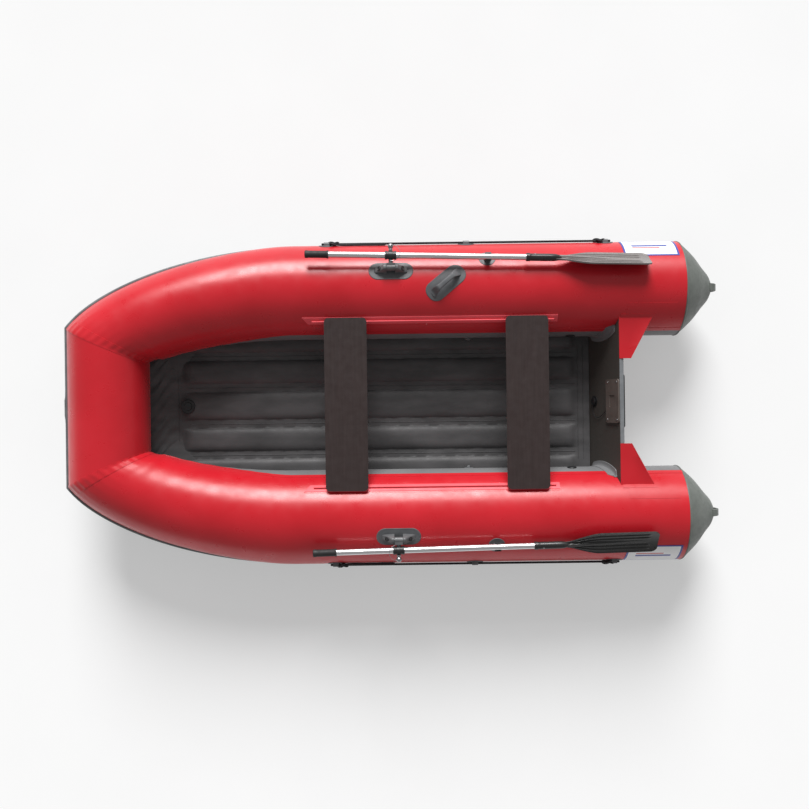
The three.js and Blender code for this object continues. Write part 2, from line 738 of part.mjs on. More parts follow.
function oarGrip(side) {
  const from = GRIP_END - GRIP_LENGTH;
  const bore = SHAFT_R + FIT;
  const profile = [
    [0, GRIP_END],
    [GRIP_R - 4, GRIP_END],
    [GRIP_R, GRIP_END - 5],
    [GRIP_R - 1.5, GRIP_END - 30],
    [GRIP_R - 1.5, from + 20],
    [GRIP_R + 1, from + 6],
    [GRIP_R + 1, from],
    [bore, from],
    [bore, GRIP_END - 7],
    [0, GRIP_END - 7],
  ];
  return onOar(turned(profile.reverse(), "x"), side);
}

const oarCollar = (side) => {
  const half = COLLAR_LENGTH / 2;
  return onOar(cut(sleeve(SHAFT_R + FIT, COLLAR_R, -half, half, "x"), crossBore(side)), side);
};

// The blade with its socket and a stiffening spine, turned about the shaft as the oar lies.
function oarBlade(side) {
  const tip = GRIP_END - OAR_LENGTH;
  const [root, mouth] = [tip + BLADE_LENGTH, tip + BLADE_PIECE];
  const half = BLADE_WIDTH / 2;
  const outline = new THREE.Shape();
  outline.moveTo(root, -SHAFT_R);
  outline.lineTo(root, SHAFT_R);
  outline.quadraticCurveTo(root - 60, half, root - 110, half);
  outline.lineTo(tip + 40, half);
  outline.quadraticCurveTo(tip, half, tip, half - 45);
  outline.lineTo(tip, 45 - half);
  outline.quadraticCurveTo(tip, -half, tip + 40, -half);
  outline.lineTo(root - 110, -half);
  outline.quadraticCurveTo(root - 60, -half, root, -SHAFT_R);
  const plate = planPrism(outline, -BLADE_T / 2, BLADE_T / 2);
  const outer = SHAFT_R + 3.5;
  const socket = turned([
    [0, root - 30],
    [outer, root - 20],
    [outer, mouth],
    [SHAFT_R + FIT, mouth],
    [SHAFT_R + FIT, mouth - 102],
    [0, mouth - 102],
  ], "x");
  const spine = sidePrism(polygon([[tip + 60, 0], [root, -outer + 2], [root, outer - 2]]), -7, 7);
  const room = rod(SHAFT_R + FIT, mouth - 102, mouth + 10, "x");
  const blade = cut(join(plate, socket, spine), room).rotateX(-side.bladeTilt);
  return onOar(blade, side);
}

// ---- Oarlocks and oar clips ---------------------------------------------------------------

const atHinge = (geometry, side) => moved(geometry, side.lockX, HINGE_Y, HINGE_Z);

function stadium(length, width) {
  return roundedRectangle(length, width, width / 2 - 0.1);
}

// The glued base with two ears, bored for the hinge pin.
function oarlockBase(side) {
  const axis = TUBE_R + HINGE_RISE;
  const ear = new THREE.Shape();
  ear.moveTo(-26, PATCH_ROOT);
  ear.lineTo(26, PATCH_ROOT);
  ear.lineTo(EAR_R, axis);
  ear.absarc(0, axis, EAR_R, 0, Math.PI);
  ear.lineTo(-26, PATCH_ROOT);
  const near = BLOCK_LENGTH / 2 + 0.5;
  const ears = [
    sectionPrism(ear, near, near + EAR_T),
    sectionPrism(ear, -near - EAR_T, -near),
  ].map((piece) => onTube(piece, side.lockX, OARLOCK_ANGLE));
  const bore = atHinge(rod(HINGE_PIN_R + FIT, -100, 100, "x"), side);
  return cut(join(patch(stadium(...OARLOCK_PATCH), side.lockX, OARLOCK_ANGLE), ...ears), bore);
}

const oarlockPin = (side) => {
  const half = BLOCK_LENGTH / 2 + EAR_T;
  return atHinge(rod(HINGE_PIN_R, -half, half, "x"), side);
};

// The hinged block with its stem and the thinner pin that carries the oar.
function oarlockYoke(side) {
  const half = BLOCK_LENGTH / 2;
  const block = join(
    rod(BLOCK_R, -half, half, "x", 24),
    box(-half, half, 0, BLOCK_R + 5, -BLOCK_R + 2, BLOCK_R - 2),
  );
  const stem = rod(STEM_R, BLOCK_R, side.reach - COLLAR_R - GAP, "y");
  const pin = rod(PIN_R, BLOCK_R, side.reach + KNOB_REACH + 3, "y");
  const bore = rod(HINGE_PIN_R + FIT, -half * 2, half * 2, "x");
  return atHinge(cut(join(block, stem, pin), bore), side);
}

// The ball nut on the end of the pin.
function oarlockKnob(side) {
  const from = side.reach + COLLAR_R + 1;
  const ball = side.reach + KNOB_REACH;
  const bore = PIN_R + FIT;
  const profile = [[bore, from], [KNOB_R - 4, from]];
  for (let angle = -45; angle <= 75; angle += 24) {
    profile.push([KNOB_R * Math.cos(rad(angle)), ball + KNOB_R * Math.sin(rad(angle))]);
  }
  profile.push([0, ball + KNOB_R], [0, ball + 4], [bore, ball + 4], [bore, from]);
  return atHinge(turned(profile, "y"), side);
}

// A snap cradle that holds the shaft near the blade, on a round patch.
function oarClip(side) {
  const x = side.lockX - side.clip;
  const y = HINGE_Y + side.reach - side.clip * Math.tan(side.yaw);
  const angle = Math.acos((y - TUBE_Y) / TUBE_R);
  const surfaceZ = TUBE_Z + TUBE_R * Math.sin(angle);
  const [inner, outer] = [SHAFT_R + 0.9, SHAFT_R + 0.9 + CLIP_WALL];
  const jaw = new THREE.Shape();
  jaw.absarc(0, 0, outer, Math.PI, Math.PI * 2);
  jaw.lineTo(outer, 4);
  jaw.lineTo(inner, 4);
  jaw.absarc(0, 0, inner, 0, -Math.PI, true);
  jaw.lineTo(-inner, 4);
  jaw.lineTo(-outer, 4);
  const half = CLIP_LENGTH / 2;
  const jaws = moved(sectionPrism(jaw, -half, half), x, y, HINGE_Z);
  const stalk = box(x - half, x + half, y - 11, y + 11, surfaceZ - 12, HINGE_Z - inner - 1);
  const foot = cut(stalk, tubeCore(GAP * 2));
  return join(patch(ellipse(CLIP_PATCH_R * 2, CLIP_PATCH_R * 2), x, angle), foot, jaws);
}

// ---- Ropes, rings and the handle ----------------------------------------------------------

// An oval patch with a loop that the grab rope runs through.
function ropeEye(x) {
  const half = EYE_LENGTH / 2;
  const outer = ROPE_R + 4;
  const loop = join(
    moved(rod(outer, -half, half, "x", 16), 0, 0, ROPE_RADIUS),
    box(-half, half, -outer, outer, PATCH_ROOT, ROPE_RADIUS),
  );
  const bore = moved(rod(ROPE_R + 0.7, -half * 2, half * 2, "x", 16), 0, 0, ROPE_RADIUS);
  const shape = onTube(loop, x, ROPE_ANGLE);
  return cut(join(patch(ellipse(...EYE_PATCH), x, ROPE_ANGLE), shape), onTube(bore, x, ROPE_ANGLE));
}

function grabRope(shift) {
  const [fore, aft] = [EYE_X.fore + shift + ROPE_TAIL, EYE_X.aft + shift - ROPE_TAIL];
  const at = (x) =>
    v3(x, TUBE_Y + ROPE_RADIUS * Math.cos(ROPE_ANGLE), TUBE_Z + ROPE_RADIUS * Math.sin(ROPE_ANGLE));
  return cord([at(fore), at(aft)], ROPE_R, 6, 10);
}

function lashingTab(x) {
  const half = 6;
  const centre = PATCH_TOP + 5.5;
  const loop = join(
    moved(rod(6.5, -half, half, "x", 16), 0, 0, centre),
    box(-half, half, -6.5, 6.5, PATCH_ROOT, centre),
  );
  const bore = moved(rod(RING_WIRE_R + 2, -half * 2, half * 2, "x", 16), 0, 0, centre);
  const body = join(patch(roundedRectangle(...TAB_SIZE, 8), x, TAB_ANGLE), onTube(loop, x, TAB_ANGLE));
  return cut(body, onTube(bore, x, TAB_ANGLE));
}

function lashingRing(x) {
  const r = PATCH_TOP + 5.5;
  const ringBody = new THREE.TorusGeometry(RING_R, RING_WIRE_R, 6, 18).rotateX(Math.PI / 2);
  const y = TUBE_Y + r * Math.cos(TAB_ANGLE);
  const z = TUBE_Z + r * Math.sin(TAB_ANGLE);
  return moved(ringBody, x, y, z - RING_R + 0.5);
}

function carryHandle(x) {
  const [length, width, thickness] = HANDLE_BAR;
  const top = TUBE_R + HANDLE_RISE + thickness;
  const half = length / 2;
  const leg = 26;
  const arch = polygon([
    [-half - 12, TUBE_R - 20],
    [-half, top - 10],
    [-half + 12, top],
    [half - 12, top],
    [half, top - 10],
    [half + 12, TUBE_R - 20],
    [half - leg, TUBE_R - 20],
    [half - leg, top - thickness],
    [leg - half, top - thickness],
    [leg - half, TUBE_R - 20],
  ]);
  const bar = sidePrism(arch, -width / 2, width / 2).rotateZ(HANDLE_SPIN);
  const plate = roundedRectangle(...HANDLE_PATCH, 46);
  const spun = planPrism(plate, TUBE_R / 2, TUBE_R * 1.3).rotateZ(HANDLE_SPIN);
  const sheet = patch(roundedRectangle(300, 300, 10), x, HANDLE_ANGLE);
  return join(
    meet(sheet, onTube(spun, x, HANDLE_ANGLE)),
    cut(onTube(bar, x, HANDLE_ANGLE), tubeCore(GAP * 2)),
  );
}

// ---- Valves -------------------------------------------------------------------------------

const atFloorValve = (geometry) => moved(geometry, BOW_X - FLOOR_VALVE_X, 0, FLOOR_TOP);

// The valve's body: a flange on the floor, a barrel through it, and a web that guides the poppet.
function floorValveBody() {
  const barrel = turned([
    [VALVE_BORE_R, -VALVE_DEPTH],
    [VALVE_BARREL_R, -VALVE_DEPTH],
    [VALVE_BARREL_R, GAP],
    [VALVE_FLANGE_R, GAP],
    [VALVE_FLANGE_R - 2, 6],
    [VALVE_BORE_R, 6],
    [VALVE_BORE_R, -VALVE_DEPTH],
  ], "z", VALVE_SIDES);
  const web = box(-VALVE_BORE_R - 2, VALVE_BORE_R + 2, -4, 4, -20, -16);
  const crossed = join(barrel, web, web.clone().rotateZ(Math.PI / 2));
  return atFloorValve(cut(crossed, rod(2.6, -40, 20, "z", 12)));
}

// The sprung poppet: a disc under the barrel, a stem and its push button.
function floorValvePoppet() {
  const profile = [
    [0, -VALVE_DEPTH - 4],
    [VALVE_BORE_R + 4, -VALVE_DEPTH - 4],
    [VALVE_BORE_R + 4, -VALVE_DEPTH - GAP],
    [2, -VALVE_DEPTH - GAP],
    [2, -8],
    [7, -8],
    [7, -4],
    [0, -4],
  ];
  return atFloorValve(turned(profile, "z", 20));
}

// The cap turns a quarter in the flange; its tab is the finger hold.
function floorValveCap() {
  const cap = turned([
    [0, -1],
    [VALVE_BORE_R - 0.6, -1],
    [VALVE_BORE_R - 0.6, 6 + GAP],
    [CAP_R, 6 + GAP],
    [CAP_R - 2, 12],
    [0, 13],
  ], "z", VALVE_SIDES);
  const tab = box(CAP_R - 4, CAP_R + CAP_TAB, -8, 8, 6 + GAP, 10);
  const rib = box(-CAP_R + 6, CAP_R - 6, -2.5, 2.5, 11, 18);
  return atFloorValve(join(cap, tab, rib));
}

function tubeValve(x) {
  const body = turned([
    [0, 6],
    [TUBE_VALVE_R - 4, 6],
    [TUBE_VALVE_R + 7, 4],
    [TUBE_VALVE_R + 9, 1],
    [TUBE_VALVE_R, 1],
    [TUBE_VALVE_R, -22],
    [0, -22],
  ].reverse(), "z", 24);
  return onTube(moved(body, 0, 0, TUBE_R), x, TUBE_VALVE_ANGLE);
}

// ---- Assembly -----------------------------------------------------------------------------

const boat = new THREE.Group();

function add(group, name, geometry, material) {
  const mesh = new THREE.Mesh(geometry, material.clone());
  mesh.name = name;
  group.add(mesh);
}

for (const [name, side] of Object.entries(SIDES)) {
  const group = new THREE.Group();
  group.scale.y = side.mirror;
  boat.add(group);
  const piece = (label, geometry, material) => add(group, `${name}_${label}`, geometry, material);
  const valveX = SEAM_X + 547;

  piece("tube", sideTubeShell(valveX), RED_FABRIC);
  piece("stern_cone", sternCone(), GREY_FABRIC);
  piece("stern_lug", sternLug(), GREY_RUBBER);
  piece("tube_valve", tubeValve(valveX), BLACK_PLASTIC);
  piece("transom_seal", transomSeal(), GREY_FABRIC);
  piece("gusset", gusset(), RED_FABRIC);
  piece("seat_rail", seatRail(), RED_FABRIC);

  piece("oarlock_base", oarlockBase(side), BLACK_PLASTIC);
  piece("oarlock_pin", oarlockPin(side), STEEL);
  piece("oarlock_yoke", oarlockYoke(side), BLACK_PLASTIC);
  piece("oarlock_knob", oarlockKnob(side), BLACK_PLASTIC);
  piece("oar_collar", oarCollar(side), BLACK_PLASTIC);
  piece("oar_shaft", oarShaft(side), BRIGHT_ALUMINIUM);
  piece("oar_grip", oarGrip(side), BLACK_PLASTIC);
  piece("oar_blade", oarBlade(side), BLACK_PLASTIC);
  piece("oar_clip", oarClip(side), BLACK_PLASTIC);

  for (const [place, x] of Object.entries(EYE_X)) {
    piece(`${place}_rope_eye`, ropeEye(x + side.shift), GREY_RUBBER);
  }
  piece("grab_rope", grabRope(side.shift), BLACK_ROPE);

  const ringX = (BEND_X + SEAM_X) / 2 + side.ringX;
  piece("lashing_tab", lashingTab(ringX), BLACK_PLASTIC);
  piece("lashing_ring", lashingRing(ringX), STEEL);

  if (side === SIDES.starboard) piece("carry_handle", carryHandle(side.lockX - 272), GREY_RUBBER);
}

add(boat, "bow_tube", bowTubeShell(), RED_FABRIC);
add(boat, "rubbing_strake", rubbingStrake(), GREY_RUBBER);
add(boat, "air_floor", airFloor(), GREY_FABRIC);
add(boat, "floor_valve_body", floorValveBody(), BLACK_PLASTIC);
add(boat, "floor_valve_poppet", floorValvePoppet(), BLACK_PLASTIC);
add(boat, "floor_valve_cap", floorValveCap(), BLACK_PLASTIC);
add(boat, "transom_board", transomBoard(), PALE_PLYWOOD);
add(boat, "transom_trim", transomTrim(), GREY_RUBBER);
add(boat, "inner_motor_pad", motorPad(), BROWN_PLASTIC);
add(boat, "outer_motor_plate", motorPlate(), BLACK_PLASTIC);
add(boat, "drain_valve_body", drainBody(), BLACK_PLASTIC);
add(boat, "drain_plug", drainPlug(), BLACK_PLASTIC);
add(boat, "drain_tether", drainTether(), BLACK_ROPE);
add(boat, "front_seat", seat(BEND_X - FRONT_SEAT), DARK_PLYWOOD);
add(boat, "rear_seat", seat(SEAM_X + REAR_SEAT), DARK_PLYWOOD);

export default boat;
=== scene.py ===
"""Looks for the inflatable dinghy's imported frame. Metres: +X to the bow, +Y to port, +Z up."""

import math

import bmesh
import bpy
from mathutils import Matrix, Vector


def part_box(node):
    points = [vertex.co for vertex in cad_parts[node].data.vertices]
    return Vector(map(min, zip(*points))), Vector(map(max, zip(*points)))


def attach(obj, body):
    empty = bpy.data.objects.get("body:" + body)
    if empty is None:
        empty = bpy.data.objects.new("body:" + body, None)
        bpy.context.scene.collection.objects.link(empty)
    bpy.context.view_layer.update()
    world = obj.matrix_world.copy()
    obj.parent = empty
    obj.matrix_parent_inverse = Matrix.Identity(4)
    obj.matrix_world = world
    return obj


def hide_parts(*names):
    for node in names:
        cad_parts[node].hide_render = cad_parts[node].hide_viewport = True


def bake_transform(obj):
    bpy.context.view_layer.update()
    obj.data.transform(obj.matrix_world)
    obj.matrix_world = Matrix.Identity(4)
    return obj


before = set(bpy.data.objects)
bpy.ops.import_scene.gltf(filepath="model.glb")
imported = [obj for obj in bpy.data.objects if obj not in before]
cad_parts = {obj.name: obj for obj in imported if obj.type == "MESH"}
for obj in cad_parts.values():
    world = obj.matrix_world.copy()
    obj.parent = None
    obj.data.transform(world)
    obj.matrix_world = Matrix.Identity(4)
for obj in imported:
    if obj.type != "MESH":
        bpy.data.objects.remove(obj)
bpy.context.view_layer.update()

TAU = 2 * math.pi
UP = Vector((0, 0, 1))
rad = math.radians
X_AXIS = Matrix.Rotation(math.pi / 2, 4, "Y")  # turns +Z to +X


# ---- Places and sizes, from the frame ----


def middle(node):
    """The centre of a CAD node's box, brought to the port side."""
    low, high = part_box(node)
    centre = (low + high) / 2
    centre.y = abs(centre.y)
    return centre


CONE_LOW, CONE_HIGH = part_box("port_stern_cone")
TUBE_R = (CONE_HIGH.z - CONE_LOW.z) / 2
TUBE_Y, TUBE_Z = middle("port_stern_cone").yz
SEAM_X = CONE_HIGH.x
CONE_LENGTH = CONE_HIGH.x - CONE_LOW.x
BOW_LOW, BOW_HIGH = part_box("bow_tube")
BOW_R = (BOW_HIGH.z - BOW_LOW.z) / 2
BOW_Z = middle("bow_tube").z
BOW_X = BOW_HIGH.x - BOW_R
FLOOR_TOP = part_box("floor_valve_body")[1].z - 0.006

BOW_HALF = TUBE_Y - 0.265
BOW_ANGLE = rad(42.8)  # the side tubes' turn where they meet the bow tube
BEND_LENGTH = 0.936
BEND_LEAD = 0.191
BOW_LEAD = 0.290
BEND_X = BOW_X - BEND_LENGTH
MITRE = (math.pi / 2 - BOW_ANGLE) / 2
MITRE_NORMAL = Vector((-math.sin(MITRE), math.cos(MITRE), 0))
MITRE_BEGINS, MITRE_FULL = 0.72, 0.95  # where the sections start and finish turning onto its plane

RAKE = rad(18.5)
FOOT_X, FOOT_Z = SEAM_X + 0.426, 0.130
TRANSOM_T = 0.022
BOARD_TOP = (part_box("transom_board")[1].z - FOOT_Z) / math.cos(RAKE)

PATCH_T = 0.0033
PATCH_TOP = TUBE_R + PATCH_T
ROPE_R = 0.0055
ROPE_ANGLE = rad(16)
OARLOCK_ANGLE = rad(71)
HANDLE_ANGLE = rad(86)
TAB_ANGLE = rad(189)
RAIL_ANGLE = rad(131.7)
SHAFT_R = 0.015
YAW = {"port": rad(1.24), "starboard": rad(1.51)}
BLADE_TILT = {"port": rad(40), "starboard": rad(60)}
SIDES = ("port", "starboard")
WIRE_SIDE = {"port": 1, "starboard": -1}  # which way the keeper loop bulges along the tube

RED_FROM = rad(11)
RED_TO = rad(157)
RED_TO_BOW = rad(200)
SEAM_BAND = rad(6.5)
FABRIC_STEP = 0.0008


def smooth(t):
    t = min(max(t, 0), 1)
    return t * t * (3 - 2 * t)


def lerp(a, b, t):
    return a + (b - a) * t


def spread(a, b, count):
    """count + 1 even values from a to b."""
    return [lerp(a, b, i / count) for i in range(count + 1)]


# ---- Camera, then the free cord ----


def add_camera():
    """Straight over the cockpit, with the bow to the left and starboard at the top."""
    turn = 0.013
    right = Vector((-math.cos(turn), math.sin(turn), 0))
    up = Vector((-math.sin(turn), -math.cos(turn), 0))
    data = bpy.data.cameras.new("camera")
    data.lens = 41.38
    data.sensor_width = 36
    camera = bpy.data.objects.new("camera", data)
    bpy.context.collection.objects.link(camera)
    axes = Matrix((right, up, UP)).transposed().to_4x4()
    camera.matrix_world = Matrix.Translation((-0.05, 0.004, 5.09)) @ axes
    bpy.context.scene.camera = camera


add_camera()


# ---- Materials ----


class Surface:
    """A material's nodes, added one after another and wired into its Principled shader."""

    def __init__(self, name, roughness, metallic=0.0, specular=0.5):
        self.material = bpy.data.materials.new(name)
        self.material.use_nodes = True
        self.tree = self.material.node_tree
        self.shader = self.tree.nodes["Principled BSDF"]
        self.shader.inputs["Metallic"].default_value = metallic
        self.shader.inputs["Specular IOR Level"].default_value = specular
        self.shader.inputs["Roughness"].default_value = roughness
        self.place = self.node("ShaderNodeTexCoord").outputs["Object"]
        self.bumped = None

    def node(self, kind, **values):
        made = self.tree.nodes.new(kind)
        for key, value in values.items():
            if key in made.inputs:
                made.inputs[key].default_value = value
            else:
                setattr(made, key, value)
        return made

    def link(self, output, target):
        self.tree.links.new(output, target)

    def stretched(self, scale):
        """The place, scaled by three factors."""
        mapping = self.node("ShaderNodeMapping")
        mapping.inputs["Scale"].default_value = scale
        self.link(self.place, mapping.inputs["Vector"])
        return mapping.outputs["Vector"]

    def noise(self, scale, detail=3.0, stretch=(1, 1, 1)):
        texture = self.node("ShaderNodeTexNoise", Scale=scale, Detail=detail)
        self.link(self.stretched(stretch), texture.inputs["Vector"])
        return texture.outputs["Fac"]

    def wave(self, pitch, direction, stretch=(1, 1, 1)):
        """Bands a pitch apart, in metres."""
        texture = self.node("ShaderNodeTexWave", Scale=TAU / 20 / pitch)
        texture.bands_direction = direction
        self.link(self.stretched(stretch), texture.inputs["Vector"])
        return texture.outputs["Fac"]

    def combine(self, a, b, operation="ADD"):
        made = self.node("ShaderNodeMath", operation=operation)
        self.link(a, made.inputs[0])
        if isinstance(b, float):
            made.inputs[1].default_value = b
        else:
            self.link(b, made.inputs[1])
        return made.outputs[0]

    def between(self, factor, low, high, start=0.0, end=1.0):
        made = self.node("ShaderNodeMapRange")
        made.inputs["From Min"].default_value = start
        made.inputs["From Max"].default_value = end
        made.inputs["To Min"].default_value = low
        made.inputs["To Max"].default_value = high
        self.link(factor, made.inputs["Value"])
        return made.outputs["Result"]

    def mix(self, factor, first, second):
        """A colour between two, where each is a colour or an output."""
        made = self.node("ShaderNodeMix", data_type="RGBA")
        self.link(factor, made.inputs["Factor"])
        for value, socket in ((first, made.inputs[6]), (second, made.inputs[7])):
            if isinstance(value, tuple):
                socket.default_value = (*value, 1)
            else:
                self.link(value, socket)
        return made.outputs[2]

    def colour(self, output):
        self.link(output, self.shader.inputs["Base Color"])

    def roughness(self, factor, low, high):
        self.link(self.between(factor, low, high, 0.3, 0.7), self.shader.inputs["Roughness"])

    def bump(self, height, depth, strength=1.0):
        """Adds relief of that depth, in metres, over any added before."""
        made = self.node("ShaderNodeBump", Strength=strength, Distance=depth)
        self.link(height, made.inputs["Height"])
        if self.bumped:
            self.link(self.bumped, made.inputs["Normal"])
        self.bumped = made.outputs["Normal"]
        self.link(self.bumped, self.shader.inputs["Normal"])


def coated_fabric(name, deep, pale, roughness, specular=0.5):
    """PVC-coated fabric: a faint weave under the coat, slow colour drift, and soft creases."""
    made = Surface(name, roughness, specular=specular)
    drift = made.noise(3.2, 4)
    made.colour(made.mix(made.between(drift, 0, 1, 0.35, 0.65), deep, pale))
    made.roughness(made.noise(14, 5), roughness - 0.05, roughness + 0.07)
    weave = made.combine(made.wave(0.0014, "X"), made.wave(0.0014, "Z"))
    made.bump(weave, 0.00003, 0.4)
    made.bump(made.noise(420, 2), 0.00004, 0.3)
    made.bump(made.noise(5, 2, (1, 1.6, 1.6)), 0.004, 0.25)
    made.shader.inputs["Sheen Weight"].default_value = 0.05
    return made.material


def moulded(name, deep, pale, roughness, grain=700, relief=1.0):
    """Rubber or plastic from a mould, with a fine grain and scuffs that dull it."""
    made = Surface(name, roughness)
    made.colour(made.mix(made.between(made.noise(18, 5), 0, 1, 0.35, 0.7), deep, pale))
    made.roughness(made.noise(60, 6), roughness - 0.06, roughness + 0.1)
    made.bump(made.noise(grain, 2), 0.00012 * relief, 0.45)
    made.bump(made.noise(25, 2), 0.0006 * relief, 0.2)
    return made.material


def brushed(name, deep, pale, roughness, stretch=(3, 260, 260)):
    """Drawn metal: fine lines along X."""
    made = Surface(name, roughness, metallic=1.0)
    lines = made.noise(1, 4, stretch)
    made.colour(made.mix(lines, deep, pale))
    made.roughness(made.noise(2, 4, stretch), roughness - 0.05, roughness + 0.1)
    made.bump(lines, 0.00003, 0.4)
    return made.material


def plywood(name, face_deep, face_pale, edge_deep, edge_pale, roughness):
    """Film-faced plywood: a fine mesh print on the faces, plies on the cut edges."""
    made = Surface(name, roughness)
    grain = made.combine(made.noise(1, 5, (90, 5, 90)), made.noise(420, 2))
    face = made.mix(made.between(grain, 0, 1, 0.7, 1.3), face_deep, face_pale)
    plies = made.mix(made.between(made.wave(0.0028, "Z"), 0, 1, 0.3, 0.7), edge_deep, edge_pale)
    normal = made.node("ShaderNodeSeparateXYZ")
    made.link(made.node("ShaderNodeNewGeometry").outputs["True Normal"], normal.inputs[0])
    up = made.node("ShaderNodeMath", operation="ABSOLUTE")
    made.link(normal.outputs["Z"], up.inputs[0])
    made.colour(made.mix(made.between(up.outputs[0], 0, 1, 0.25, 0.6), plies, face))
    made.roughness(made.noise(30, 5), roughness - 0.05, roughness + 0.1)
    print_height = made.combine(made.wave(0.0022, "X"), made.wave(0.0022, "Y"), "MULTIPLY")
    made.bump(print_height, 0.0001, 0.4)
    return made.material


def rope_cover(name):
    """Braided cover: two crossing sets of slanting yarns."""
    made = Surface(name, 0.72, specular=0.3)
    yarn = made.combine(made.wave(0.0035, "DIAGONAL"), made.noise(500, 2), "MULTIPLY")
    made.colour(made.mix(yarn, (0.006, 0.006, 0.007), (0.05, 0.05, 0.055)))
    made.bump(yarn, 0.0006, 0.7)
    return made.material


def floor_cloth(name):
    """The floor's fabric: dark, with lengthwise creases."""
    made = Surface(name, 0.5, specular=0.4)
    drift = made.noise(4, 4, (1, 3, 1))
    made.colour(made.mix(made.between(drift, 0, 1, 0.35, 0.65), (0.052, 0.051, 0.052), (0.088, 0.085, 0.087)))
    made.roughness(made.noise(20, 4), 0.46, 0.6)
    made.bump(made.combine(made.wave(0.0014, "X"), made.wave(0.0014, "Y")), 0.00008, 0.6)
    made.bump(made.noise(14, 4, (2.2, 0.8, 1)), 0.003, 0.3)
    return made.material


RED = coated_fabric("red_fabric", (0.50, 0.008, 0.016), (0.56, 0.012, 0.022), 0.31, 0.45)
# A lighter red for the seat rail's bar and bead: painted highlight, the light on the bar's upward-facing top,
# over fabric that is the same red as the tubes.
PAINTED_LIGHT_RAIL = coated_fabric("rail_painted_highlight", (0.80, 0.075, 0.095), (0.88, 0.095, 0.12), 0.45, 0.4)
GREY = coated_fabric("grey_fabric", (0.15, 0.15, 0.155), (0.20, 0.20, 0.205), 0.48)
WHITE = coated_fabric("label_film", (0.78, 0.78, 0.79), (0.84, 0.84, 0.85), 0.35)
BLUE = coated_fabric("label_blue", (0.03, 0.05, 0.28), (0.04, 0.07, 0.34), 0.35)
FLOOR_CLOTH = floor_cloth("floor_fabric")
CONE_RUBBER = moulded("cone_rubber", (0.105, 0.118, 0.105), (0.135, 0.148, 0.134), 0.5, 500)
STRAKE_RUBBER = moulded("strake_rubber", (0.10, 0.104, 0.108), (0.15, 0.155, 0.16), 0.5, 500)
PATCH_RUBBER = moulded("patch_rubber", (0.085, 0.088, 0.094), (0.12, 0.124, 0.13), 0.48, 600)
DARK_PLASTIC = moulded("dark_plastic", (0.085, 0.086, 0.090), (0.125, 0.126, 0.130), 0.38)
BLACK_PLASTIC = moulded("black_plastic", (0.008, 0.008, 0.009), (0.020, 0.020, 0.021), 0.38)
BLADE_PLASTIC = moulded("blade_plastic", (0.012, 0.012, 0.012), (0.020, 0.019, 0.018), 0.30, relief=0.2)
# A lighter copy of the blade plastic, used for the starboard blade: painted highlight, the light and
# reflection on the blade that faces the key lamp, not a different or worn plastic.
PAINTED_HIGHLIGHT_BLADE = moulded("blade_plastic_painted_highlight", (0.175, 0.160, 0.155), (0.195, 0.179, 0.174), 0.24, relief=0.2)
GRIP_RUBBER = moulded("grip_rubber", (0.010, 0.010, 0.010), (0.022, 0.022, 0.022), 0.6, 900)
PAD_PLASTIC = moulded("pad_plastic", (0.100, 0.080, 0.070), (0.130, 0.106, 0.095), 0.42)
TRIM_GREY = moulded("trim_grey", (0.16, 0.17, 0.18), (0.22, 0.23, 0.24), 0.4)
ALUMINIUM = brushed("shaft_aluminium", (0.62, 0.62, 0.63), (0.80, 0.80, 0.81), 0.30)
STEEL = brushed("steel", (0.26, 0.26, 0.27), (0.42, 0.42, 0.43), 0.34, (60, 60, 60))
ROPE = rope_cover("black_rope")
SEAT_PLY = plywood(
    "seat_plywood", (0.024, 0.014, 0.013), (0.036, 0.022, 0.021),
    (0.07, 0.055, 0.05), (0.14, 0.12, 0.11), 0.42,
)
BOARD_PLY = plywood(
    "transom_plywood", (0.013, 0.011, 0.010), (0.022, 0.019, 0.018),
    (0.05, 0.045, 0.04), (0.09, 0.08, 0.07), 0.45,
)


# ---- Making pieces ----


def grid(rows, closed=False, turned_over=False):
    """Points and faces of a sheet through rows of points. closed joins each row's ends."""
    count = len(rows[0])
    points = [p for row in rows for p in row]
    faces = []
    for i in range(len(rows) - 1):
        for j in range(count if closed else count - 1):
            a, b = i * count + j, i * count + (j + 1) % count
            face = (a, b, b + count, a + count)
            faces.append(face[::-1] if turned_over else face)
    return points, faces


def loft(rings):
    """A closed solid through rings of points."""
    points, faces = grid(rings, closed=True)
    count = len(rings[0])
    faces.append(tuple(range(count))[::-1])
    faces.append(tuple(range(len(points) - count, len(points))))
    return points, faces


def arc(r, first, last, count, centre=0.0):
    """Points [u, v] of an arc round [0, centre]."""
    return [(r * math.cos(a), centre + r * math.sin(a)) for a in spread(first, last, count)]


def turned(profile, sides=48):
    """A solid turned about Z from [radius, height] pairs. A radius of 0 closes an end."""
    rows = []
    for r, z in profile:
        rows.append([Vector((r * math.cos(a), r * math.sin(a), z)) for a in spread(0, TAU, sides)[:-1]])
    return grid(rows, closed=True)


def moved(part, matrix):
    points, faces = part
    return [matrix @ Vector(p) for p in points], faces


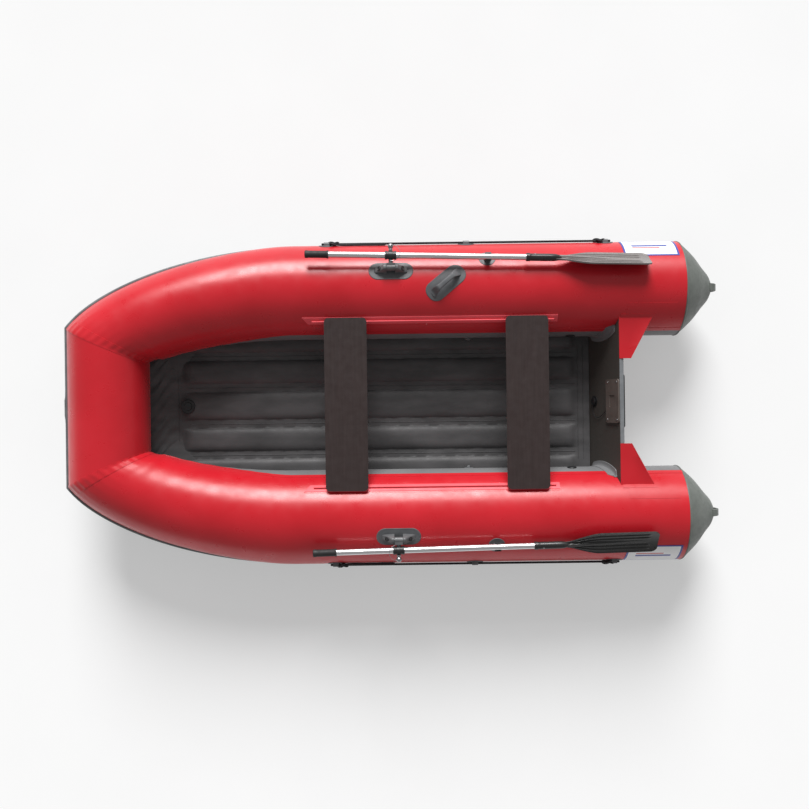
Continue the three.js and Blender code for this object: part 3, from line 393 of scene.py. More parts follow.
def piece(name, parts, body="hull", side="port", replaces=(), solid=True, angle=35):
    """One object from parts, each (points, faces, material), riding on a body.

    Pieces are described on the port side, and side "starboard" mirrors them. solid turns the
    faces of a closed form outwards.
    """
    mesh = bpy.data.meshes.new(name)
    points, faces, kinds, materials = [], [], [], []
    for some, its_faces, material in parts:
        if material not in materials:
            materials.append(material)
        base = len(points)
        points += some
        faces += [tuple(base + i for i in face) for face in its_faces]
        kinds += [materials.index(material)] * len(its_faces)
    if side == "starboard":
        points = [Vector((p[0], -p[1], p[2])) for p in points]
        faces = [face[::-1] for face in faces]
    mesh.from_pydata([tuple(p) for p in points], [], faces)
    for material in materials:
        mesh.materials.append(material)
    mesh.polygons.foreach_set("material_index", kinds)
    work = bmesh.new()
    work.from_mesh(mesh)
    bmesh.ops.remove_doubles(work, verts=work.verts, dist=1e-6)
    if solid:
        bmesh.ops.recalc_face_normals(work, faces=work.faces)
    work.to_mesh(mesh)
    work.free()
    obj = bpy.data.objects.new(name, mesh)
    bpy.context.collection.objects.link(obj)
    mesh.shade_smooth()
    mesh.set_sharp_from_angle(angle=rad(angle))
    if body:
        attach(obj, body)
    if replaces:
        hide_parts(*replaces)
    return obj


def bevelled(obj, width, segments=3):
    """Rounds a piece's sharp edges."""
    modifier = obj.modifiers.new("rounded", "BEVEL")
    modifier.width = width
    modifier.segments = segments
    modifier.limit_method = "ANGLE"
    modifier.angle_limit = rad(40)
    modifier.harden_normals = True
    return obj


def finish_node(node, material, width=0.0):
    """A CAD node that stays: its material, smooth shading and rounded edges."""
    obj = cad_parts[node]
    obj.data.materials.clear()
    obj.data.materials.append(material)
    obj.data.shade_smooth()
    obj.data.set_sharp_from_angle(angle=rad(32))
    if width:
        bevelled(obj, width)
    return obj


def swept(route, radius, sides=16, twist=0.0, lobes=0, depth=0.0, taper=True):
    """A round solid along a route. twist turns its lobes once in that length."""
    last = len(route) - 1
    along = [(route[min(i + 1, last)] - route[max(i - 1, 0)]).normalized() for i in range(last + 1)]
    normal = along[0].orthogonal().normalized()
    rings, gone = [], 0.0
    for i, point in enumerate(route):
        if i:
            gone += (point - route[i - 1]).length
        normal = (normal - along[i] * normal.dot(along[i])).normalized()
        binormal = along[i].cross(normal)
        phase = TAU * gone / twist if twist else 0
        ring = []
        for a in spread(0, TAU, sides)[:-1]:
            r = radius * (1 + depth * math.cos(lobes * (a - phase)))
            ring.append(point + normal * r * math.cos(a) + binormal * r * math.sin(a))
        rings.append(ring)
    if taper:
        ends = ((0, 1), (-1, -2))
        for end, beside in ends:
            centre = route[end] + (route[end] - route[beside]).normalized() * radius * 0.35
            tip = [centre + (p - route[end]) * 0.55 for p in rings[end]]
            rings.insert(0 if end == 0 else len(rings), tip)
    return loft(rings)


def curve_through(points, steps):
    """A smooth route through some points, evenly stepped between each pair (Catmull-Rom)."""
    points = [Vector(p) for p in points]
    padded = [2 * points[0] - points[1], *points, 2 * points[-1] - points[-2]]
    route = []
    for i in range(1, len(padded) - 2):
        a, b, c, d = padded[i - 1 : i + 3]
        for t in spread(0, 1, steps)[: None if i == len(padded) - 3 else -1]:
            square = (2 * a - 5 * b + 4 * c - d) * t**2
            cube = (3 * b - a - 3 * c + d) * t**3
            route.append(0.5 * (2 * b + (c - a) * t + square + cube))
    return route


# ---- The hull's skin ----


def station(s):
    """A section of the port tube: s is metres aft of the bend if negative, and 0 to 1 round it."""
    if s <= 0:
        return Vector((BEND_X + s, TUBE_Y, TUBE_Z)), Vector((1, 0, 0)), Vector((0, 1, 0)), TUBE_R
    t = 1 - s
    a = Vector((BOW_X, BOW_HALF))
    b = a + BOW_LEAD * Vector((-math.cos(BOW_ANGLE), math.sin(BOW_ANGLE)))
    c = Vector((BEND_X + BEND_LEAD, TUBE_Y))
    d = Vector((BEND_X, TUBE_Y))
    at = a * s**3 + 3 * b * s * s * t + 3 * c * s * t * t + d * t**3
    slope = (b - a) * s * s + 2 * (c - b) * s * t + (d - c) * t * t
    along = -slope.normalized()
    rise = smooth(s)
    centre = Vector((at.x, at.y, lerp(TUBE_Z, BOW_Z, rise)))
    return centre, along.to_3d(), Vector((-along.y, along.x, 0)), lerp(TUBE_R, BOW_R, rise)


def skin(s, angle, lift=0.0):
    """A point of the port tube's skin. Near the bow tube the sections turn onto the mitre."""
    centre, along, out, r = station(s)
    offset = (out * math.cos(angle) + UP * math.sin(angle)) * (r + lift)
    turn = smooth((s - MITRE_BEGINS) / (MITRE_FULL - MITRE_BEGINS))
    if turn:
        end_along, end_out = station(1)[1:3]
        away = (end_out * math.cos(angle)).dot(MITRE_NORMAL) * (r + lift)
        offset -= along * (away / end_along.dot(MITRE_NORMAL)) * turn
    return centre + offset


def red_edge(s):
    """The inboard edge of the red fabric, round the tube."""
    return lerp(RED_TO, RED_TO_BOW, smooth(s))


def straight(x):
    """The station at a place along the straight tube."""
    return x - BEND_X


TUBE_STATIONS = spread(straight(SEAM_X), 0, 70) + spread(0, 1, 60)[1:]


def red_rows(s):
    """Angle and lift of each line of the red fabric, with the raised band along its seam."""
    edge = red_edge(s)
    lines = [(a, FABRIC_STEP) for a in spread(RED_FROM, edge - SEAM_BAND, 54)]
    lines += [(a, 3 * FABRIC_STEP) for a in spread(edge - SEAM_BAND + 0.002, edge, 6)]
    return [(RED_FROM - 0.001, 0.0), *lines, (edge + 0.002, 0.0)]


def grey_rows(s):
    return [(a, 0.0) for a in spread(red_edge(s), TAU + RED_FROM, 44)]


def pucker(s, angle):
    """Small folds that fan out from the mitre and the bend's inner side."""
    near = smooth((s - 0.80) / 0.2)
    inner = smooth((-math.cos(angle) - 0.1) / 1.1) * smooth(s / 0.5)
    folds = math.sin(angle * 31) * 0.0007 * near
    return folds + math.sin(s * 64 + math.sin(angle * 3)) * 0.0009 * inner * (1 - near * 0.5)


def side_tube(side):
    red = [[skin(s, a, lift + pucker(s, a)) for a, lift in red_rows(s)] for s in TUBE_STATIONS]
    grey = [[skin(s, a, lift + pucker(s, a)) for a, lift in grey_rows(s)] for s in TUBE_STATIONS]
    parts = [(*grid(red, turned_over=True), RED), (*grid(grey, turned_over=True), GREY)]
    piece(f"{side}_tube_skin", parts, side=side, replaces=[f"{side}_tube"], solid=False)


def bow_skin(along, angle, lift=0.0):
    """A point of the bow tube: along is 1 at the port mitre and -1 at the starboard one."""
    r = BOW_R + lift
    end = skin(1, angle, lift)
    return Vector((BOW_X + r * math.cos(angle), end.y * along, BOW_Z + r * math.sin(angle)))


def bow_tube():
    steps = spread(-1, 1, 44)
    red = [[bow_skin(v, a, lift) for a, lift in red_rows(1)] for v in steps]
    grey = [[bow_skin(v, a, lift) for a, lift in grey_rows(1)] for v in steps]
    parts = [(*grid(red), RED), (*grid(grey), GREY)]
    piece("bow_tube_skin", parts, replaces=["bow_tube"], solid=False)


def mitre_tape(side):
    """The strip glued over the joint between a side tube and the bow tube."""
    rows = []
    for s, lift in ((0.9535, 0.0), (0.954, 0.0022), (0.965, 0.0024), (0.985, 0.0024), (1.0, 0.0022)):
        rows.append([skin(s, a, lift + pucker(s, a) * 1.4) for a in spread(RED_FROM, RED_TO_BOW, 110)])
    last = [bow_skin(1, a, 0.0022) - Vector((0, 0.008, 0)) for a in spread(RED_FROM, RED_TO_BOW, 110)]
    edge = [bow_skin(1, a, 0.0) - Vector((0, 0.0083, 0)) for a in spread(RED_FROM, RED_TO_BOW, 110)]
    rows += [last, edge]
    parts = [(*grid(rows, turned_over=True), RED)]
    piece(f"{side}_bow_seam_tape", parts, side=side, solid=False)


def stern_cone(side):
    """The moulded cone on a tube's stern end, with a lip over the fabric's end."""
    profile = [(1, 0), (0.92, 0.13), (0.71, 0.4), (0.46, 0.65), (0.3, 0.82)]
    scale = CONE_LENGTH / 0.925
    outline = [Vector((share * TUBE_R, x * scale, 0)) for share, x in profile]
    outline.append(Vector((0.17 * TUBE_R, 0.908 * scale, 0)))
    curve = curve_through(outline, 9)
    rounds = [(TUBE_R - 0.002, -0.002), (TUBE_R + 0.0022, -0.001)]
    rounds += [(TUBE_R + 0.0028, 0.001), (TUBE_R + 0.0016, 0.005)]
    rounds += [(p.x + 0.0006, p.y) for p in curve[3:]]
    rounds.append((0, CONE_LENGTH))
    place = Matrix.Translation((SEAM_X, TUBE_Y, TUBE_Z)) @ Matrix.Rotation(-math.pi / 2, 4, "Y")
    cone = moved(turned(rounds, 96), place)
    parts = [(*cone, CONE_RUBBER)]
    piece(f"{side}_cone_shell", parts, side=side, replaces=[f"{side}_stern_cone"])
    finish_node(f"{side}_stern_lug", CONE_RUBBER, 0.003)


def strake():
    """The rubbing strake: a grooved bar along both tubes and round the bow."""
    half = 0.022
    section = [
        (0.0006, -half), (0.004, -half), (0.009, -0.019), (0.0118, -0.013),
        (0.0118, -0.005), (0.0088, -0.002), (0.0088, 0.002), (0.0118, 0.005),
        (0.0118, 0.013), (0.009, 0.019), (0.004, half), (0.0006, half),
    ]

    def section_at(s):
        angle = lerp(rad(-13), rad(12), smooth(s))
        r = station(s)[3]
        return [skin(s, angle + up / r, out) for out, up in section]

    port = [section_at(s) for s in spread(straight(SEAM_X + 0.02), 0, 60) + spread(0, 1, 50)[1:]]
    end = section_at(1)
    bow = []
    for v in spread(0.96, -0.96, 40):
        bump = 0.004 * smooth((0.062 - abs(v * end[0].y)) / 0.012)
        ring = []
        for (out, up), p in zip(section, end):
            push = bump if out > 0.008 and abs(up) < 0.018 else 0
            ring.append(Vector((p.x + push, p.y * v, p.z)))
        bow.append(ring)
    starboard = [[Vector((p.x, -p.y, p.z)) for p in ring] for ring in reversed(port)]
    parts = [(*loft([*port, *bow, *starboard]), STRAKE_RUBBER)]
    piece("strake_bar", parts, replaces=["rubbing_strake"])


# ---- Strips and patches on the skin ----


def on_tube(x, angle):
    """The frame of a place on the straight tube: +Z out through the skin, +X forward."""
    return Matrix.Translation((x, TUBE_Y, TUBE_Z)) @ Matrix.Rotation(angle - math.pi / 2, 4, "X")


def rounded(length, width, r, count=18):
    """The outline of a rounded rectangle, in the patch's own plane."""
    x, y = length / 2 - r, width / 2 - r
    outline = []
    for cx, cy, start in ((x, y, 0), (-x, y, 1), (-x, -y, 2), (x, -y, 3)):
        for a in spread(start * math.pi / 2, (start + 1) * math.pi / 2, count):
            outline.append((cx + r * math.cos(a), cy + r * math.sin(a)))
        nx, ny = {0: (-x, y), 1: (-x, -y), 2: (x, -y), 3: (x, y)}[start]
        ex, ey = outline[-1]
        r_x, r_y = (0, r) if start == 0 else (-r, 0) if start == 1 else (0, -r) if start == 2 else (r, 0)
        for t in spread(0, 1, 6)[1:-1]:
            outline.append((lerp(ex, nx + r_x, t), lerp(ey, ny + r_y, t)))
    return outline


PLATE_PROFILE = (  # share of the outline, and height over the skin
    (0, 0.0026), (0.4, 0.0026), (0.75, 0.0026), (0.86, 0.0027),
    (0.92, 0.0035), (0.965, 0.0033), (1.0, -0.0004),
)


def plate(outline, x, angle, spin=0.0):
    """A moulded patch bent over the tube, with a raised rim."""
    rows = []
    for share, lift in PLATE_PROFILE:
        row = []
        for u, v in outline:
            a, b = u * share, v * share
            along = a * math.cos(spin) - b * math.sin(spin)
            round_ = a * math.sin(spin) + b * math.cos(spin)
            row.append(skin(straight(x + along), angle - round_ / TUBE_R, lift))
        rows.append(row)
    return grid(rows, closed=True)


def band(name, stations, lines, material, side, replaces=()):
    """A strip along the tube. lines(s) gives each line's angle and lift."""
    rows = [[skin(s, a, lift) for a, lift in lines(s)] for s in stations]
    parts = [(*grid(rows, turned_over=True), material)]
    piece(name, parts, side=side, replaces=replaces, solid=False)


def raised(first, last, lift, count):
    """Lines of a strip between two angles, with its edges let down onto the skin."""
    edge = rad(0.12)
    return [(first - edge, -0.0004), *[(a, lift) for a in spread(first, last, count)], (last + edge, -0.0004)]


def reinforcement(side):
    """A second layer of fabric on the stern's inboard shoulder."""
    ends = (straight(-1.417), straight(-1.168))
    band(
        f"{side}_stern_panel", spread(*ends, 14), lambda s: raised(rad(113), rad(150), 0.0018, 20), RED, side
    )


def label(side):
    """A blank decal with a border and two plain stripes."""
    xs = spread(-1.437, -1.160, 28)
    angles = spread(rad(14), rad(54), 20)
    rows = [[skin(straight(x), a, 0.0021) for a in angles] for x in xs]
    points, faces = grid(rows, turned_over=True)
    count = len(angles) - 1
    white, blue, red = [], [], []
    for i, face in enumerate(faces):
        along, around = divmod(i, count)
        if along in (0, len(xs) - 2) or around in (0, count - 1):
            blue.append(face)
        elif around in (9, 10) and 4 < along < 23:
            blue.append(face)
        elif around == 12 and 8 < along < 23:
            red.append(face)
        else:
            white.append(face)
    parts = [(points, white, WHITE), (points, blue, BLUE), (points, red, RED)]
    piece(f"{side}_decal", parts, side=side, solid=False)


def seat_rail(side):
    """The glued rail that carries the seats: a wide flange, a raised bar and a bead on it."""
    low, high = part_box(f"{side}_seat_rail")
    aft, fore = low.x, high.x
    half = 0.0215 / TUBE_R

    def flange(_):
        return raised(RAIL_ANGLE - 0.115, RAIL_ANGLE + 0.085, 0.0017, 10)

    def bar(s):
        x = s + BEND_X
        cut = min(1, max(0.02, (fore - x) / 0.03))  # the fore end is cut to a point
        top = 0.0038
        first, last = RAIL_ANGLE - half, RAIL_ANGLE - half + 2 * half * cut
        side_lines = [(first - 0.006, 0.0), (first, top * 0.7), (first + 0.006 * cut, top * 0.95)]
        crown = [(a, top) for a in spread(first + 0.012 * cut, last - 0.012 * cut, 8)]
        return [*side_lines, *crown, (last - 0.006 * cut, top * 0.95), (last, top * 0.7), (last + 0.006, 0.0)]

    point = straight(fore - 0.04)
    stations = spread(straight(aft), point, 90) + spread(point, straight(fore), 10)[1:]
    band(f"{side}_rail_flange", spread(straight(aft), straight(fore - 0.004), 60), flange, RED, side)
    # The bar and the bead take the lighter red, a painted highlight.
    band(f"{side}_rail_bar", stations, bar, PAINTED_LIGHT_RAIL, side, replaces=[f"{side}_seat_rail"])
    bead_route = [skin(straight(x), RAIL_ANGLE, PATCH_T + 0.006) for x in spread(aft + 0.02, fore - 0.05, 40)]
    bead = swept(bead_route, 0.004, 16)
    piece(f"{side}_rail_bead", [(*bead, PAINTED_LIGHT_RAIL)], side=side)


# ---- Transom ----

MOTOR_PLATE_T = 0.0083  # both motor plates, with their gap to the board
TRANSOM = Matrix.Translation((FOOT_X, 0, FOOT_Z)) @ Matrix.Rotation(-RAKE, 4, "Y")


def board_face(y, z, out=0.0):
    """A point over the board's inner face, by its place in the row frame's Y and Z."""
    return Vector((FOOT_X - (z - FOOT_Z) * math.tan(RAKE) + out, y, z))


def transom_seal(side):
    """The angle strip that glues the board to the tube, with a fillet in its corner."""
    rows = []
    for a in spread(rad(143.5), rad(201), 60):
        outward = Vector((0, math.cos(a), math.sin(a)))
        narrow = 1 - 0.75 * smooth((rad(150) - a) / rad(6.5)) - 0.6 * smooth((a - rad(194)) / rad(7))
        leg = 0.030 * narrow
        row = []
        section = (
            (leg, 0.0004), (leg * 0.97, 0.0032), (leg * 0.6, 0.0034), (leg * 0.36, 0.0052),
            (leg * 0.22, 0.0085), (0.0052, 0.014), (0.0036, leg * 0.72), (0.0032, leg * 1.2),
            (0.0004, leg * 1.24),
        )
        for away, out in section:
            place = outward * (TUBE_R + away)
            row.append(board_face(TUBE_Y + place.y, TUBE_Z + place.z, out))
        rows.append(row)
    parts = [(*grid(rows), GREY)]
    node = f"{side}_transom_seal"
    piece(f"{side}_seal_strip", parts, side=side, replaces=[node], solid=False)


def gusset(side):
    """The web behind the board: a doubled sheet with a turned hem, glued along the tube."""
    low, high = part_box(f"{side}_gusset")
    z = (low.z + high.z) / 2
    inner_y = min(abs(low.y), abs(high.y))
    tube_y = TUBE_Y - math.sqrt(TUBE_R**2 - (z - TUBE_Z) ** 2) + 0.004
    fore, aft = high.x, low.x
    inner_aft = fore - 0.059
    half = (high.z - low.z) / 2
    section = ((0, 1), (0.03, 1.2), (0.5, 0.9), (0.94, 0.9), (0.96, 1.5), (0.99, 1.5), (1, 0.4))
    rings = []
    for t in spread(0, 1, 18):
        y = lerp(tube_y, inner_y, t)
        back = lerp(aft, inner_aft, t)
        ring = []
        for share, thick in section:
            sag = -0.004 * math.sin(math.pi * share) * math.sin(math.pi * t)
            ring.append((lerp(fore, back, share), y, sag, half * thick))
        top = [Vector((x, yy, z + s + h)) for x, yy, s, h in ring]
        bottom = [Vector((x, yy, z + s - h)) for x, yy, s, h in reversed(ring)]
        rings.append(top + bottom)
    web = loft(rings)
    piece(f"{side}_web", [(*web, RED)], side=side, replaces=[f"{side}_gusset"])
    angle = math.acos((tube_y - 0.004 - TUBE_Y) / TUBE_R)
    stations = spread(straight(aft - 0.012), straight(fore - 0.008), 16)
    band(
        f"{side}_web_foot", stations, lambda s: raised(angle - 0.085, angle + 0.02, 0.0026, 8), RED, side
    )


def screw(name, place, r):
    """A domed screw head with a cross slot, standing on +Z of its place."""
    dome = [(r, -0.002), (r, 0.0008), (r * 0.9, 0.0016), (r * 0.6, 0.0023), (r * 0.28, 0.0026)]
    dome += [(r * 0.26, 0.0012), (0, 0.0012)]
    piece(name, [(*moved(turned(dome, 24), place), STEEL)])


def transom_fittings():
    finish_node("transom_board", BOARD_PLY, 0.0015)
    finish_node("transom_trim", TRIM_GREY, 0.0012)
    finish_node("inner_motor_pad", PAD_PLASTIC, 0.002)
    finish_node("outer_motor_plate", BLACK_PLASTIC, 0.002)
    finish_node("drain_valve_body", BLACK_PLASTIC, 0.001)
    sets = (
        ("pad_screw", MOTOR_PLATE_T, X_AXIS, BOARD_TOP - 0.060, 0.095, 0.044, 0.0055),
        ("plate_bolt", -TRANSOM_T - MOTOR_PLATE_T, X_AXIS.inverted(), BOARD_TOP - 0.075, 0.115, 0.055, 0.0075),
    )
    for name, depth, face, middle, half_width, half_height, radius in sets:
        for i, (across, up) in enumerate(((1, 1), (-1, 1), (1, -1), (-1, -1))):
            place = Matrix.Translation((depth, half_width * across, middle + half_height * up))
            screw(f"{name}_{i + 1}", TRANSOM @ place @ face, radius)


def drain():
    """The drain plug: a gripped head with a raised bar."""
    centre = Matrix.Translation((0, 0, 0.058))
    profile = (  # radius, height, and whether it is ribbed
        (0, -0.022, 0), (0.014, -0.022, 0), (0.015, 0.0055, 0), (0.0205, 0.0058, 1), (0.021, 0.008, 1),
        (0.0208, 0.0105, 1), (0.0185, 0.0122, 0), (0.012, 0.0125, 0), (0, 0.0128, 0),
    )
    rows = []
    for r, h, ribs in profile:
        row = []
        for j in range(72):
            a = j / 72 * TAU
            rr = r - (0.0009 if ribs and j % 3 == 0 else 0)
            row.append(Vector((rr * math.cos(a), rr * math.sin(a), h)))
        rows.append(row)
    place = TRANSOM @ centre @ X_AXIS
    head = moved(grid(rows, closed=True), place)
    bar = []
    for x, wide, high in ((-0.0145, 0.002, 0.0125), (-0.012, 0.0036, 0.0138)):
        corners = ((-1, 0.0115), (1, 0.0115), (0.8, high), (-0.8, high))
        bar.append([Vector((x, wide * share, z)) for share, z in corners])
    bar += [[Vector((-p.x, p.y, p.z)) for p in ring] for ring in reversed(bar)]
    parts = [(*head, BLACK_PLASTIC), (*moved(loft(bar), place), BLACK_PLASTIC)]
    piece("drain_plug_head", parts, body="drain_plug", replaces=["drain_plug"])


def tether():
    """The plug's cord, from the rim of its head to the motor pad's lower edge."""
    head = 0.0213
    pad = BOARD_TOP - 0.1203
    local = [
        (0.009, head, 0.058), (0.009, 0.035, 0.054), (0.008, 0.058, 0.056),
        (0.007, 0.084, 0.080), (0.006, 0.082, 0.120), (0.006, 0.062, pad - 0.0277),
        (0.005, 0.052, pad - 0.0097), (0.005, 0.050, pad),
    ]
    route = [TRANSOM @ p for p in curve_through(local, 5)]
    points, faces = swept(route, 0.0015, 10, taper=False)
    parts = [(points, faces, ROPE)]
    obj = piece("drain_tether_cord", parts, body=None, replaces=["drain_tether"])
    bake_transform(obj)


# ---- Floor ----

CHAMBERS = ((0.0, 0.074), (0.1795, 0.0615), (0.335, 0.052))  # centre and half width, both sides
CHAMBER_FORE, CHAMBER_AFT = 1.135, -0.965


def floor_base(x):
    rise_from, rise_to = BOW_X - 0.310, BOW_X - 0.134
    return FLOOR_TOP + 0.060 * max(0, (x - rise_from) / (rise_to - rise_from))


def floor_height(x, y):
    """The floor's top: crowned chambers between sunk welds, flat and creased at both ends."""
    sunk = -0.017
    height = sunk + 0.0012 * math.sin(x * 41 + 3 * y) * math.sin(y * 60)
    ends = smooth((CHAMBER_FORE - x) / 0.05) * smooth((x - CHAMBER_AFT) / 0.04)
    for centre, half in CHAMBERS:
        u = abs(abs(y) - centre) / half if centre else abs(y) / half
        if u < 1:
            crown = -sunk * (1 - u**4)
            height = lerp(height, sunk + crown, ends)
    fore = smooth((x - CHAMBER_FORE) / 0.03)
    creases = 0.0035 * math.sin(y * 85 + 6 * math.sin(x * 23)) * fore
    return floor_base(x) + height + creases


def floor_columns():
    """Places across the floor, close together at the welds."""
    places = {0.0}
    for centre, half in CHAMBERS:
        for u in (-1, -0.985, -0.95, -0.88, -0.75, -0.5, -0.2, 0.2, 0.5, 0.75, 0.88, 0.95, 0.985, 1):
            if centre + u * half >= 0:
                places.add(round(centre + u * half, 5))
    places.update((0.085, 0.096, 0.107, 0.252, 0.262, 0.272))
    half_row = sorted(places)
    return [-y for y in reversed(half_row[1:])] + half_row


def floor_edge(s, z):
    """Where the floor's top meets the tube at a station, or runs under it."""
    centre, _, _, r = station(s)
    angle = math.pi + math.asin(min(0.99, (centre.z - z) / r))
    return skin(s, angle, 0.0005)


def air_floor():
    columns = floor_columns()
    stations = spread(straight(-1.030), 0, 90) + spread(0, 0.999, 50)[1:]
    rings = []
    for s in stations:
        at = floor_edge(s, FLOOR_TOP)
        at = floor_edge(s, floor_base(at.x))
        half = at.y
        top = []
        for y in columns:
            y = min(max(y, -half), half)
            z = floor_height(at.x, y)
            top.append(Vector((at.x - 0.004 * (1 if s < -1.5 else 0), y, z)))
        low = station(s)[0].z - station(s)[3]
        keel = low + 0.015
        under = min(half + 0.063, 0.419)
        bottom = []
        for v in spread(1, -1, 24):
            y = v * under
            bottom.append(Vector((at.x, y, keel + 0.047 * abs(y) / 0.42)))
        rings.append(top + bottom)
    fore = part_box("air_floor")[1].x - 0.004
    tuck = BOW_Z - math.sqrt(BOW_R**2 - (BOW_X - fore) ** 2) + 0.006  # just inside the bow tube
    last = rings[-1]
    tops = [max(p.z, tuck) for p in last[: len(columns)]]
    heights = tops + [p.z for p in last[len(columns) :]]
    rings.append([Vector((fore, p.y, z)) for p, z in zip(last, heights)])
    parts = [(*loft(rings), FLOOR_CLOTH)]
    piece("floor_skin", parts, replaces=["air_floor"], angle=50)
    for sign, name in ((1, "port"), (-1, "starboard")):
        welds = []
        for y in (0.096, 0.262):
            route = [Vector((x, sign * y, floor_height(x, y) + 0.0006)) for x in spread(-0.955, 1.10, 60)]
            welds.append((*swept(route, 0.0016, 8), FLOOR_CLOTH))
        piece(f"{name}_floor_welds", welds)
    for i, x in enumerate((-0.972, -1.000, 1.150)):
        route = [Vector((x, y, floor_height(x, y) + 0.0010)) for y in spread(-0.30, 0.30, 60)]
        piece(f"floor_cross_seam_{i + 1}", [(*swept(route, 0.0018, 8), FLOOR_CLOTH)])


def floor_valve():
    finish_node("floor_valve_body", BLACK_PLASTIC, 0.001)
    finish_node("floor_valve_poppet", DARK_PLASTIC, 0.0006)
    finish_node("floor_valve_cap", BLACK_PLASTIC, 0.001)
    centre = middle("floor_valve_poppet")
    ring = [(0.0295, 0.0), (0.0372, 0.0002), (0.0368, 0.0045), (0.0345, 0.0066)]
    ring += [(0.0305, 0.0066), (0.0295, 0.005), (0.0295, 0.0)]
    place = Matrix.Translation((centre.x, 0, FLOOR_TOP + 0.0004))
    piece("floor_valve_bezel", [(*moved(turned(ring, 72), place), BLACK_PLASTIC)])


# ---- Seats ----


def seats():
    for seat in ("front_seat", "rear_seat"):
        finish_node(seat, SEAT_PLY, 0.0018)


# ---- Oars ----

OAR_LENGTH, GRIP_END, GRIP_LENGTH = 1.706, 0.424, 0.117
BLADE_LENGTH, BLADE_WIDTH, BLADE_PIECE = 0.480, 0.140, 0.614


def oar_frame(side):
    """An oar's own frame on the port side: X forward along its shaft, origin on its pin."""
    return Matrix.Translation(middle(f"{side}_oar_collar")) @ Matrix.Rotation(YAW[side], 4, "Z")


def on_oar(side, name, part, material, node):
    """A piece that rides on an oar and stands for one of its nodes."""
    piece(f"{side}_{name}", [(*part, material)], f"{side}_oar", side, [f"{side}_{node}"])


def oar_shaft(side):
    tip = GRIP_END - OAR_LENGTH
    fore, aft = GRIP_END - 0.008, tip + BLADE_PIECE - 0.100
    profile = [(0, aft), (SHAFT_R - 0.001, aft), (SHAFT_R, aft + 0.001)]
    profile += [(SHAFT_R, x) for x in spread(aft + 0.01, fore - 0.01, 24)]
    profile += [(SHAFT_R, fore - 0.001), (SHAFT_R - 0.001, fore), (0, fore)]
    part = moved(turned(profile, 40), oar_frame(side) @ X_AXIS)
    on_oar(side, "shaft_tube", part, ALUMINIUM, "oar_shaft")


def oar_grip(side):
    """A rubber grip with finger grooves and a thicker rim at each end."""
    start = GRIP_END - GRIP_LENGTH
    profile = [(SHAFT_R, start), (0.0192, start), (0.0198, start + 0.0015), (0.0198, start + 0.006)]
    for x in spread(start + 0.012, GRIP_END - 0.022, 60):
        wave = math.cos((x - start) * TAU / 0.0075)
        profile.append((0.0176 + 0.00045 * wave, x))
    profile += [(0.0188, GRIP_END - 0.014), (0.0190, GRIP_END - 0.004)]
    profile += [(0.0165, GRIP_END - 0.0005), (0, GRIP_END)]
    part = moved(turned(profile, 44), oar_frame(side) @ X_AXIS)
    on_oar(side, "grip_sleeve", part, GRIP_RUBBER, "oar_grip")


def oar_collar(side):
    """The sleeve that the oarlock's pin goes through: ringed ends and a raised middle."""
    r, half = 0.021, 0.028
    groove = r - 0.0016
    fore_half = [(r, 0.010), (groove, 0.011), (groove, half - 0.010), (r, half - 0.009)]
    fore_half += [(r, half - 0.001), (r - 0.001, half), (SHAFT_R, half)]
    profile = [(radius, -x) for radius, x in reversed(fore_half)] + fore_half
    part = moved(turned(profile, 48), oar_frame(side) @ X_AXIS)
    on_oar(side, "collar_sleeve", part, BLACK_PLASTIC, "oar_collar")


def blade_outline(t):
    """The blade's half width, from the tip at 0 to its root at 1."""
    half = BLADE_WIDTH / 2
    shoulder = lerp(0.0165, half, smooth((1 - t) / 0.42))
    corner = 0.034 / BLADE_LENGTH
    if t < corner:
        return half - 0.030 * (1 - math.sqrt(max(0, 1 - (1 - t / corner) ** 2)))
    return shoulder


def blade_rib(v, t, half):
    """Relief of the blade's spine and ribs, above its web."""
    y = v * half
    spine = 0.0105 * smooth((t - 0.05) / 0.9) * smooth((0.0115 - abs(y)) / 0.006)
    ribs = 0.0
    for share in (0.36, 0.67):
        ribs += 0.0042 * smooth((0.07 - abs(abs(v) - share)) / 0.045) * smooth((t - 0.08) / 0.04)
    rim = 0.0016 * smooth((abs(v) - 0.91) / 0.045)
    fade = smooth((half - 0.02) / 0.02)
    return spine + (ribs + rim) * fade


